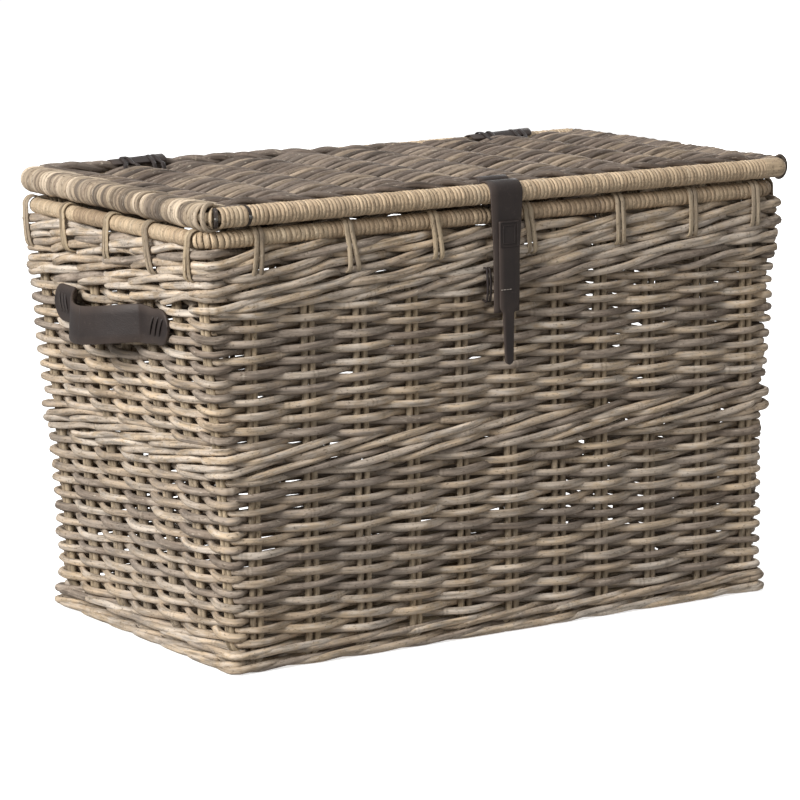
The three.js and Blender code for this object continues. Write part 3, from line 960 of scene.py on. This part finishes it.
def wrap_lid_end(side, first, last, runs, inner, lifts, material):
    """Weavers that come off the panel in pairs, turn round the end pole and go back under the panel."""
    strands = Strands(8)
    count = int((last - first) / END_PITCH)
    tone = 0.5
    for i in range(count):
        if i % 2 == 0:
            tone = rng.uniform(0.0, 1.0)
            swell = rng.uniform(0.0, 0.0014)
        s = first + (last - first) * (i + 0.5) / count + rng.normal(0, 0.0003)
        middle, normal = lid.frame_at(np.array([s]))
        middle, normal = middle[0], normal[0]
        way = np.array([-normal[1], normal[0], 0])
        straight = abs(normal[0]) > 0.999
        run = rng.uniform(*runs) if straight else 0.012
        size = END_STRAND * rng.uniform(0.92, 1.1)
        corner_swell = 0.0022 * math.exp(-(((s - lid.front) / 0.022) ** 2))
        radius = inner + size * 0.9 + swell + corner_swell
        top = np.linspace(run, 0.0, 10)[:-1]
        bend = np.linspace(math.pi / 2, -math.pi / 2, 15)
        under = np.linspace(0, 0.018, 5)[1:]
        out = np.concatenate([-top, radius * np.cos(bend), -under])
        dip = 0.006 * np.clip((top - 0.008) / 0.03, 0, 1.4)
        up = np.concatenate([radius - dip, radius * np.sin(bend), np.full(4, -radius)])
        n = len(out)
        slide = rng.normal(0.0010, 0.0018) * np.linspace(-1, 1, n) + drift(n, 8, 0.0003)
        path = middle + normal * out[:, None] + way * slide[:, None]
        path[:, 2] += up + lifts[0] + (lifts[1] - lifts[0]) * i / count
        shade = float(np.clip(tone + rng.normal(0, 0.18), 0, 1))
        strands.add(path, size, ref=way, flat=0.85, tone=shade)
    made = strands.build("lid_end_strands_" + side, material)
    settle(made, "lid", "weathered_rattan", "lid_wrap_" + side)


wrap_lid_end("left", lid.left - lid.arc * 0.5, lid.front - lid.arc * 0.5,
             (0.024, 0.046), 0.0080, (0.0040, 0.0004), END)
wrap_lid_end("right", lid.right - lid.arc * 0.3, lid.right + 2 * lid.straight_y + lid.arc * 0.5,
             (0.022, 0.040), 0.0056, (0.0, 0.0), LID)


def twisted_pair(strands, x, y, z, radius, pitch, tone):
    """Two weavers twisted round each other along X."""
    phase = 2 * math.pi * x / pitch
    for k in range(2):
        turn = phase + math.pi * k
        n = len(x)
        up, across = np.sin(turn) * radius * 0.85, np.cos(turn) * radius * 0.85
        path = join(x, y + across + drift(n, 12, 0.0006), z + up + drift(n, 12, 0.0006))
        strands.add(path, radius * rng.uniform(0.92, 1.05), knots=0.25, tone=tone)


def lid_borders():
    """The twisted pairs that finish the panel: one behind the front pole and two on the back pole."""
    strands = Strands(8)
    x = np.arange(panel_low[0] + 0.002, panel_high[0] - 0.002, 0.004)
    front_y = lid_wrap_high[1] + 0.0040
    strap_x = sum(corners("closure_strap"))[0] / 2
    from_end = np.clip(np.minimum(x - x[0], x[-1] - x) / 0.035, 0, 1)
    under_strap = np.exp(-((x - strap_x) / 0.028) ** 2)
    front_z = LID_AXIS_Z + 0.0102 - 0.0050 * under_strap - 0.0085 * (1 - from_end) ** 2
    twisted_pair(strands, x, np.full_like(x, front_y), front_z, 0.0040, 0.085, 0.2)
    along = (x - x[0]) / (x[-1] - x[0])
    back_z = LID_AXIS_Z + 0.0130 - 0.0125 * along ** 0.9
    twisted_pair(strands, x, np.full_like(x, panel_high[1] + 0.0040), back_z, 0.0042, 0.075, 0.3)
    twisted_pair(strands, x, np.full_like(x, panel_high[1] + 0.0120), back_z - 0.0006, 0.0040, 0.09, 0.4)
    corner_loop(strands)
    settle(strands.build("lid_border_strands", LID), "lid", "weathered_rattan")


def corner_loop(strands):
    """One dark strand round the pole where the cap ends, at the lid's front right corner."""
    end_x = lid.centre[0] + lid.straight_x + lid.corner * math.sin(CAP_TURN * math.pi / 2)
    end_y = lid.centre[1] - lid.straight_y - lid.corner * math.cos(CAP_TURN * math.pi / 2)
    angle = np.radians(np.linspace(150, -150, 30))
    reach = LID_ROD + 2 * LID_CANE + 0.0012
    loop = join(end_x + 0.002 + reach * np.cos(angle) * 0.75, end_y - 0.001,
                LID_AXIS_Z + reach * np.sin(angle))
    strands.add(loop, 0.0021, ref=(0, 1, 0), tone=0.1)


lid_borders()

# ---- nails ----

NAIL_RADIUS = 0.0021
NAIL_HEIGHT = 0.0009


def nail(name, s):
    """A domed nail head on the cane, in line with the CAD nail's shank."""
    middle, normal = lid.frame_at(np.array([s]))
    outward = Vector(normal[0])
    seat = Vector(middle[0]) + outward * (LID_ROD + 2 * LID_CANE - 0.0004)
    place = Matrix.Translation(seat) @ outward.to_track_quat("Z", "Y").to_matrix().to_4x4()
    rings, around = 5, 18
    points = []
    for i in range(rings):
        tilt = math.pi / 2 * i / rings
        radius, height = NAIL_RADIUS * math.cos(tilt), NAIL_HEIGHT * math.sin(tilt)
        for j in range(around):
            angle = 2 * math.pi * j / around
            points.append((radius * math.cos(angle), radius * math.sin(angle), height))
    points.append((0, 0, NAIL_HEIGHT))
    faces = [list(range(around))[::-1]] + tube_quads(rings, around, False).tolist()
    last = (rings - 1) * around
    faces += [[last + j, last + (j + 1) % around, rings * around] for j in range(around)]
    head = add_mesh(name + "_head", [tuple(place @ Vector(v)) for v in points], faces, STEEL)
    settle(head, "lid", "nail_steel", name)


for name, s in zip(("lid_nail_1", "lid_nail_2"), nail_places()):
    nail(name, s)

# ---- cane ties ----

TIE_WIDTH = 0.0030
TIE_THICK = 0.0013
TIE_OUT = 0.0025
TIE_REACH = 0.0108
TIE_DEPTH = 0.044
TIE_FRONT = (-0.309, -0.200, -0.090, 0.029, 0.149, 0.252, 0.337)
TIE_SIDE = (-0.187, -0.091, -0.002, 0.104, 0.195)


def smooth_path(points, n, closed=False):
    """A curve of n points through the given ones."""
    points = np.asarray(points, float)
    if closed:
        points = np.concatenate([points[-1:], points, points[:2]])
    chord = np.concatenate(([0], np.cumsum(np.linalg.norm(np.diff(points, axis=0), axis=1))))
    first, last = (chord[1], chord[-2]) if closed else (0, chord[-1])
    t = np.linspace(first, last, n, endpoint=not closed)
    i = np.clip(np.searchsorted(chord, t, "right") - 1, 0, len(points) - 2)
    f = ((t - chord[i]) / (chord[i + 1] - chord[i]))[:, None]
    p1, p2 = points[i], points[i + 1]
    p0 = points[np.maximum(i - 1, 0)]
    p3 = points[np.minimum(i + 2, len(points) - 1)]
    return 0.5 * (2 * p1 + (p2 - p0) * f + (2 * p0 - 5 * p1 + 4 * p2 - p3) * f ** 2
                  + (3 * p1 - p0 - 3 * p2 + p3) * f ** 3)


def on_wall(side, along, out, z):
    """Points at a distance out from the ribs on one side of the box, and the way along that side."""
    sign = -1 if side in ("front", "left") else 1
    if side in ("front", "back"):
        return join(along, sign * (DEPTH_HALF - WALL_HALF + out), z), (1, 0, 0)
    return join(sign * (wall_straight(z) + STAKE_CORNER + out), along, z), (0, 1, 0)


def tie(strands, side, place, fold):
    """Two flat canes side by side, over the rim pole and through the top wale. fold is their lowest point."""
    angle = np.radians([140, 90, 55, 20, -10])
    over = join(TIE_OUT + TIE_REACH * np.cos(angle), RIM_AXIS_Z + TIE_REACH * np.sin(angle))
    outside = [(0.0144, RIM_AXIS_Z - 0.014), (0.0148, RIM_AXIS_Z - 0.027), (0.0140, fold + 0.006),
               (0.0105, fold + 0.001), (0.002, fold - 0.001)]
    inside = [(-0.009, fold + 0.001), (-0.0135, fold + 0.008), (-0.0138, RIM_AXIS_Z - 0.020),
              (-0.0105, RIM_AXIS_Z - 0.003)]
    ring = smooth_path([*over[1:], *outside, *inside, over[0]], 64, closed=True)
    out, z = ring[:, 0], ring[:, 1]
    depth = np.clip((RIM_AXIS_Z - z) / (RIM_AXIS_Z - fold), 0, 1)
    tilt = rng.normal(0.0, 0.0045)
    for k in (-1, 1):
        splay = k * (TIE_WIDTH + CLEARANCE) * (1 + rng.uniform(-0.15, 0.9) * depth ** 2) + tilt * depth
        path, way = on_wall(side, place + splay + drift(64, 16, 0.0003), out, z)
        tone = rng.uniform(0.1, 0.9)
        strands.add(path, TIE_WIDTH, ref=way, flat=TIE_THICK / TIE_WIDTH, tone=tone, closed=True)


def make_ties():
    strands = Strands(8)
    fold = RIM_AXIS_Z - TIE_DEPTH
    for side in ("front", "back"):
        for x in TIE_FRONT:
            tie(strands, side, x + rng.normal(0, 0.001), fold + rng.uniform(-0.0035, 0.0025))
    for side in ("left", "right"):
        for y in TIE_SIDE:
            tie(strands, side, y, fold + rng.uniform(-0.0035, 0.0025))
    settle(strands.build("rim_cane_ties", STAKE), "basket", "cane_peel")


make_ties()

# ---- leather ----


def band_rings(path, wide, thickness, width):
    """A leather strap's cross sections: path is its middle line, wide its way across, width its half widths.

    The second array is 1 along the strap's two edges, where the leather gets a painted highlight.
    """
    path = np.asarray(path, float)
    wide = unit(np.broadcast_to(np.asarray(wide, float), path.shape))
    normal = unit(np.cross(unit(np.gradient(path, axis=0)), wide))
    h = thickness / 2
    r = h * 0.55
    profile = [(-1, -h + r, 0), (-1, -h, r), (-0.5, -h, 0), (0, -h, 0), (0.5, -h, 0),
               (1, -h, r), (1, -h + r, 0)]
    profile += [(-across, -up, inset) for across, up, inset in profile]
    points = []
    for across, up, inset in profile:
        reach = np.broadcast_to(across * width - np.sign(across) * inset, (len(path),))
        points.append(path + wide * reach[:, None] + normal * up)
    edge = np.broadcast_to([float(abs(across) == 1) for across, _, _ in profile], (len(path), len(profile)))
    return np.stack(points, 1), edge


def strap_mesh(name, points, edge):
    """Joins cross sections into one closed strap."""
    n, m, _ = points.shape
    k = np.arange(m)
    faces = tube_quads(n, m, False).tolist() + [k[::-1].tolist(), ((n - 1) * m + k).tolist()]
    strap = add_mesh(name, points.reshape(-1, 3).tolist(), faces, LEATHER)
    # the edge attribute carries the painted highlight along the strap's edges
    attribute = strap.data.attributes.new("edge", "FLOAT", "POINT")
    attribute.data.foreach_set("value", edge.reshape(-1).astype(np.float32))
    return strap


def band(name, path, wide, thickness, width):
    return strap_mesh(name, *band_rings(path, wide, thickness, width))


def thongs(name, body, routes, radius, flat, nodes=(), material=LEATHER):
    """Thin strips laid along the given routes, made as one piece."""
    strands = Strands(7)
    for route, ref in routes:
        path = smooth_path(route, max(12, len(route) * 7))
        strands.add(path, radius, ref=ref, flat=flat)
    settle(strands.build(name, material), body, "dark_leather", *nodes)


# ---- closure ----

strap_low, strap_high = corners("closure_strap")
tongue_low, tongue_high = corners("closure_tongue")
keeper_low, keeper_high = corners("closure_keeper")
STRAP_X = (strap_low[0] + strap_high[0]) / 2
STRAP_THICK = 0.0024
STRAP_MID = LID_ROD + 2 * LID_CANE + 0.0004 + STRAP_THICK / 2
TONGUE_STITCH = 0.387
STRAP_SHIFT = 0.0014
STRAP_BEND_Z = 0.43
KEEPER_MIDDLE = 0.392
KEEPER_SHIFT = 0.0040
TONGUE_HEIGHTS = (0.304, 0.361, 0.367, 0.462)
TONGUE_LEFT = (-0.0128, -0.0150, -0.0188, -0.0190)
TONGUE_RIGHT = (-0.0022, -0.0003, 0.0062, 0.0068)
TONGUE_ROUND = 0.005
EMBOSS_TOP = tongue_high[2] - 0.0015
EMBOSS_HEIGHT = 0.0265
EMBOSS_LEFT, EMBOSS_RIGHT = -0.0172, 0.0045
EMBOSS_INSET = 0.0035
FRONT_AXIS_Y = lid.centre[1] - lid.straight_y - lid.corner
STRAP_HALVES = (0.0163, 0.0170, 0.0208)
STRAP_BELLY = 0.0009
TONGUE_THICK = 0.0022
TONGUE_FACE = float(tongue_low[1]) - 0.0003
STITCH_PITCH = 0.0036
STITCH_LENGTH = 0.0028
TAB_HALF = 0.0200


def make_strap():
    """The wide strap: round the lid's front pole, then down the front."""
    angle = np.radians(np.linspace(-95, 180, 30))
    loop = join(STRAP_X + STRAP_SHIFT, FRONT_AXIS_Y + STRAP_MID * np.cos(angle),
                LID_AXIS_Z + STRAP_MID * np.sin(angle))
    z = np.linspace(LID_AXIS_Z, strap_low[2], 40)[1:]
    belly = STRAP_BELLY * np.sin(math.pi * (LID_AXIS_Z - z) / (LID_AXIS_Z - strap_low[2]))
    shift = STRAP_SHIFT * np.clip((z - STRAP_BEND_Z) / (LID_AXIS_Z - STRAP_BEND_Z), 0, 1)
    down = join(STRAP_X + shift, FRONT_AXIS_Y - STRAP_MID - belly, z)
    path = np.concatenate([loop, down])
    half = np.interp(path[:, 2], [strap_low[2], STRAP_BEND_Z, LID_AXIS_Z], STRAP_HALVES)
    strap = band("closure_strap_leather", path, (1, 0, 0), STRAP_THICK, half)
    settle(strap, "closure", "dark_leather", "closure_strap")


def make_tongue():
    """The narrow tongue sewn on the strap, with a round tip."""
    z = np.linspace(tongue_high[2], tongue_low[2], 90)
    lift = 0.0006 + 0.0016 * np.clip((0.375 - z) / 0.07, 0, 1) ** 2
    y = (tongue_low[1] + tongue_high[1]) / 2 - lift * 0.3
    left = np.interp(z, TONGUE_HEIGHTS, TONGUE_LEFT)
    right = np.interp(z, TONGUE_HEIGHTS, TONGUE_RIGHT)
    from_tip = np.clip((z - tongue_low[2]) / TONGUE_ROUND, 0, 1)
    half = (right - left) / 2 * np.sqrt(np.clip(1 - (1 - from_tip) ** 2, 0.03, 1))
    path = join((left + right) / 2, y, z)
    tongue = band("closure_tongue_leather", path, (1, 0, 0), TONGUE_THICK, half)
    settle(tongue, "closure", "dark_leather", "closure_tongue")


def make_plain_frame():
    """A plain double frame on the tongue."""
    routes = []
    for inset in (0.0, EMBOSS_INSET):
        left, right = EMBOSS_LEFT + inset, EMBOSS_RIGHT - inset
        high, low = EMBOSS_TOP - inset, EMBOSS_TOP - EMBOSS_HEIGHT + inset
        box = join([left, right, right, left], TONGUE_FACE, [high, high, low, low])
        for i in range(4):
            routes.append((np.linspace(box[i], box[(i + 1) % 4], 3), (1, 0, 0) if i % 2 else (0, 0, 1)))
    thongs("closure_plain_frame", "closure", routes, 0.0008, 0.6)


def make_stitches():
    """The row of pale stitches across the tongue."""
    stitches = []
    for i in range(4):
        x = TONGUE_LEFT[-1] + 0.0015 + i * STITCH_PITCH
        stitch = [(x, TONGUE_FACE + 0.0004, TONGUE_STITCH),
                  (x + STITCH_LENGTH / 2, TONGUE_FACE - 0.0004, TONGUE_STITCH + 0.0002),
                  (x + STITCH_LENGTH, TONGUE_FACE + 0.0004, TONGUE_STITCH)]
        stitches.append((stitch, (0, 0, 1)))
    thongs("closure_stitches", "closure", stitches, 0.0004, 0.9, material=THREAD)


def make_tab():
    """The strap's end on the lid: from the front pole over the border and down to the panel."""
    tab = smooth_path([(0.0115, 0.0080), (0.0135, 0.0136), (0.0210, 0.0154), (0.0300, 0.0134),
                       (0.0360, 0.0080), (0.0375, 0.0010)], 24)
    path = join(STRAP_X + STRAP_SHIFT, FRONT_AXIS_Y + tab[:, 0], LID_AXIS_Z + tab[:, 1])
    settle(band("closure_tab_leather", path, (1, 0, 0), STRAP_THICK, TAB_HALF), "lid", "dark_leather")


def make_keeper():
    """A thong through the weave beside the strap, doubled."""
    front = float(keeper_low[1]) + 0.0022
    middle = float(keeper_low[0] + keeper_high[0]) / 2 + KEEPER_SHIFT
    top, bottom = keeper_high[2], keeper_low[2]
    routes = []
    for shift in (-0.0020, 0.0020):
        x = middle + shift
        route = [(x + shift, front + 0.012, top - 0.001), (x, front + 0.002, top),
                 (x, front - 0.0002, top - 0.006), (x, front - 0.001, KEEPER_MIDDLE),
                 (x, front, bottom + 0.006), (x, front + 0.003, bottom),
                 (x - shift, front + 0.012, bottom + 0.001)]
        routes.append((route, (1, 0, 0)))
    thongs("closure_keeper_thong", "basket", routes, 0.0016, 0.65, ("closure_keeper",))


make_strap()
make_tongue()
make_plain_frame()
make_stitches()
make_tab()
make_keeper()

# ---- handles ----

HANDLE_THICK = 0.0032
HANDLE_HALF = 0.021
HANDLE_BOW = 0.034
HANDLE_DROOP = 0.009
HANDLE_POWER = 1.3
END_ROUND = 0.020
strap_box = corners("left_handle_strap")
HANDLE_Z = float(strap_box[1][2]) - HANDLE_HALF
HANDLE_FRONT, HANDLE_BACK = float(strap_box[0][1]), float(strap_box[1][1])
HANDLE_MIDDLE = (HANDLE_FRONT + HANDLE_BACK) / 2
HANDLE_SPAN = (HANDLE_BACK - HANDLE_FRONT) / 2
ANCHOR_BACK = float(corners("left_handle_back_anchor")[1][1])
ANCHOR_FRONT = float(corners("left_handle_front_anchor")[0][1])
BLEND_OUT = 0.004
BLEND_IN = 0.018
PINCH = 0.10
PINCH_Y = ANCHOR_FRONT + 0.026
PINCH_REACH = 0.012
HANDLE_TILT = 0.12
LACE_INSET = 0.024
LACE_PITCH = 0.0088
LACE_LEAN = 0.0036
LACE_REACH = 0.0105


def handle_line(y):
    """(distance out from the wall's face, height) of the middle of the handle's leather at y."""
    across = (y - HANDLE_MIDDLE) / HANDLE_SPAN
    inside = np.clip((across + 1) / 2, 0, 1) ** HANDLE_POWER
    bow = HANDLE_BOW * np.clip(1 - across ** 2, 0, None)
    flat = 0.0034 + 0.0018 * np.cos(np.clip((np.abs(across) - 1) * HANDLE_SPAN / 0.05, 0, 1) * math.pi)
    return flat + bow, HANDLE_Z - HANDLE_DROOP * np.sin(math.pi * inside)


def make_handle(side, sign):
    y = np.linspace(ANCHOR_BACK, ANCHOR_FRONT, 121)
    out, z = handle_line(y)
    face = half_length(HANDLE_Z)
    path = join(sign * (face + out), y, z)
    from_end = np.minimum(ANCHOR_BACK - y, y - ANCHOR_FRONT)
    rounding = np.sqrt(np.clip(1 - (1 - np.clip(from_end / END_ROUND, 0, 1)) ** 2, 0.02, 1))
    pinch = 1 - PINCH * np.exp(-((y - PINCH_Y) / PINCH_REACH) ** 2)
    half = HANDLE_HALF * rounding * pinch
    tilt = HANDLE_TILT * np.clip(1 - ((y - HANDLE_MIDDLE) / HANDLE_SPAN) ** 2, 0, 1)
    wide = join(-sign * tilt, 0, 1)
    middle = int(np.argmin(np.abs(y - HANDLE_MIDDLE)))
    halves = (("back", slice(0, middle + 1), HANDLE_BACK, 1),
              ("front", slice(middle, None), HANDLE_FRONT, -1))
    points, edge = band_rings(path, wide, HANDLE_THICK, half)
    for end, part, hinge_y, way in halves:
        piece = strap_mesh(side + "_handle_" + end + "_leather", points[part], edge[part])
        replaced = [side + "_handle_" + end + "_anchor"]
        if end == "back":
            replaced.append(side + "_handle_strap")
        x = sign * (float(face) + 0.0026)
        bridge(piece, "dark_leather", side + "_handle", (x, hinge_y + way * BLEND_OUT, HANDLE_Z),
               (x, hinge_y - way * BLEND_IN, HANDLE_Z), *replaced)
    lace_handle(side, sign, float(face))


def lace_handle(side, sign, face):
    """Flat thongs, side by side on a slant, that tie the handle's two ends to the wall through slits."""
    t = np.array([-1.12, -0.96, -0.4, 0.4, 0.96, 1.12])
    lift = np.array([-0.0045, -0.0002, 0.0012, 0.0012, -0.0002, -0.0045])
    for end, middle, way in (("back", ANCHOR_BACK - LACE_INSET, 1), ("front", ANCHOR_FRONT + LACE_INSET, -1)):
        routes = []
        for place in (-1, 0, 1):
            y = middle + place * LACE_PITCH + (way * LACE_LEAN + rng.normal(0, 0.0006)) * t
            z = HANDLE_Z + LACE_REACH * rng.uniform(0.9, 1.08) * t
            out = face + handle_line(y)[0] + HANDLE_THICK / 2 + lift
            routes.append((join(sign * out, y, z), (0, 1, 0)))
        thongs(side + "_handle_" + end + "_lacing", "basket", routes, 0.0025, 0.36)


make_handle("left", -1)
make_handle("right", 1)

# ---- hinges ----

HINGE_AXIS_Z = float(corners("left_hinge_box_leaf")[1][2]) + 0.0012
HINGE_Y = float(corners("left_hinge_box_leaf")[1][1]) + 0.0006
HINGE_BLEND = 0.014
HINGE_THICK = 0.0018
HINGE_TOPS = {"left": 0.0192, "right": 0.0145}
POLE_Y = lid.centre[1] + lid.straight_y + lid.corner


def make_hinge(side):
    """One piece of leather from the lid's top, over the back border and pole, down the box's back."""
    lid_leaf, box_leaf = side + "_hinge_lid_leaf", side + "_hinge_box_leaf"
    low, high = corners(box_leaf)
    x = (low[0] + high[0]) / 2
    top = LID_AXIS_Z + HINGE_TOPS[side]
    line = [(POLE_Y - 0.022, top - 0.0050), (POLE_Y - 0.014, top - 0.0008), (POLE_Y - 0.006, top),
            (POLE_Y + 0.005, top - 0.0035), (POLE_Y + 0.0125, LID_AXIS_Z + 0.008),
            (HINGE_Y + 0.0004, LID_AXIS_Z - 0.002), (HINGE_Y, HINGE_AXIS_Z),
            (HINGE_Y - 0.0006, HINGE_AXIS_Z - 0.012), (HINGE_Y - 0.0012, (low[2] + HINGE_AXIS_Z) / 2),
            (HINGE_Y - 0.0014, low[2])]
    curve = smooth_path(line, 70)
    path = join(x + drift(70, 20, 0.0006), curve[:, 0], curve[:, 1])
    half = (high[0] - low[0]) / 2 * (1 + drift(70, 8, 0.022))
    half[:4] *= np.array([0.90, 0.95, 0.98, 0.99])
    half[-4:] *= np.array([0.99, 0.98, 0.95, 0.90])
    tilt = 0.05 * np.sin(np.linspace(0, 5, 70))
    wide = join(1, 0, tilt)
    leaf = band(side + "_hinge_leather", path, wide, HINGE_THICK, half)
    bridge(leaf, "dark_leather", "lid", (x, HINGE_Y, HINGE_AXIS_Z - HINGE_BLEND),
           (x, HINGE_Y, HINGE_AXIS_Z + HINGE_BLEND), lid_leaf, box_leaf)
    lace_hinge_to_lid(side, x, high[0] - low[0], top)
    lace_hinge_to_box(side, x, high[0] - low[0], low[2])


def lace_hinge_to_lid(side, x, width, top):
    """Thongs over the leather's top end, from the panel to the back pole."""
    leans, across, up = np.array([(1, -0.036, LID_AXIS_Z + 0.006), (1, -0.032, top - 0.0060),
                                  (0, -0.024, top - 0.0036), (0, -0.014, top + 0.0007),
                                  (-1, -0.006, top + 0.0012), (-1, -0.001, top - 0.003)]).T
    routes = []
    for place in (-0.30, -0.18, 0.20, 0.32):
        at = x + place * width + leans * rng.normal(0, 0.003)
        routes.append((join(at, POLE_Y + across, up), (1, 0, 0)))
    thongs(side + "_hinge_lid_lacing", "lid", routes, 0.0028, 0.32)


def lace_hinge_to_box(side, x, width, bottom):
    """Two pairs of thongs that tie the leather's bottom end to the box's back."""
    stitch = np.array([(-0.0020, -0.0040, 0.010), (-0.0018, 0.0002, 0.013), (0, 0.0008, 0.021),
                       (0.0018, 0.0002, 0.029), (0.0020, -0.0040, 0.032)])
    stitch += (x, HINGE_Y + 0.0004, bottom)
    routes = []
    for place in (-0.28, 0.28):
        for beside in (-0.005, 0.005):
            routes.append((stitch + (place * width + beside, 0, 0), (1, 0, 0)))
    thongs(side + "_hinge_box_lacing", "basket", routes, 0.0026, 0.36)


make_hinge("left")
make_hinge("right")

# ---- surroundings ----

WORLD_STRENGTH = 0.42
GROUND_SIZE = 80
GROUND_GLOW = 0.64


def make_ground():
    bpy.ops.mesh.primitive_plane_add(size=GROUND_SIZE, location=(0, 0, 0))
    ground = bpy.context.object
    ground.name = "ground"
    material, _, bsdf = shader("ground", 0.9, 0.1)
    bsdf.inputs["Base Color"].default_value = (0.86, 0.86, 0.86, 1)
    bsdf.inputs["Emission Color"].default_value = (1, 1, 1, 1)
    bsdf.inputs["Emission Strength"].default_value = GROUND_GLOW
    ground.data.materials.append(material)
    ground.visible_diffuse = False
    ground.visible_glossy = False


def area_light(name, place, aim, size, power):
    data = bpy.data.lights.new(name, "AREA")
    data.energy = power
    data.size = size
    light = add_object(name, data)
    light.location = place
    light.rotation_mode = "QUATERNION"
    light.rotation_quaternion = (Vector(aim) - Vector(place)).to_track_quat("-Z", "Y")


def make_lighting():
    world = bpy.data.worlds.new("studio")
    bpy.context.scene.world = world
    world.use_nodes = True
    background = world.node_tree.nodes["Background"]
    background.inputs["Color"].default_value = (1, 1, 1, 1)
    background.inputs["Strength"].default_value = WORLD_STRENGTH
    area_light("key", (-4.2, -1.2, 2.7), (0, 0, 0.25), 2.0, 310)
    area_light("fill", (1.6, -4.2, 1.6), (0, 0, 0.2), 2.6, 10)
    area_light("top", (0.4, 0.6, 3.6), (0, 0, 0.4), 2.4, 40)
    area_light("back", (3.4, 3.2, 1.0), (0, 0, 0.25), 2.4, 75)
    bpy.context.scene.view_settings.view_transform = "Standard"


make_ground()
make_lighting()
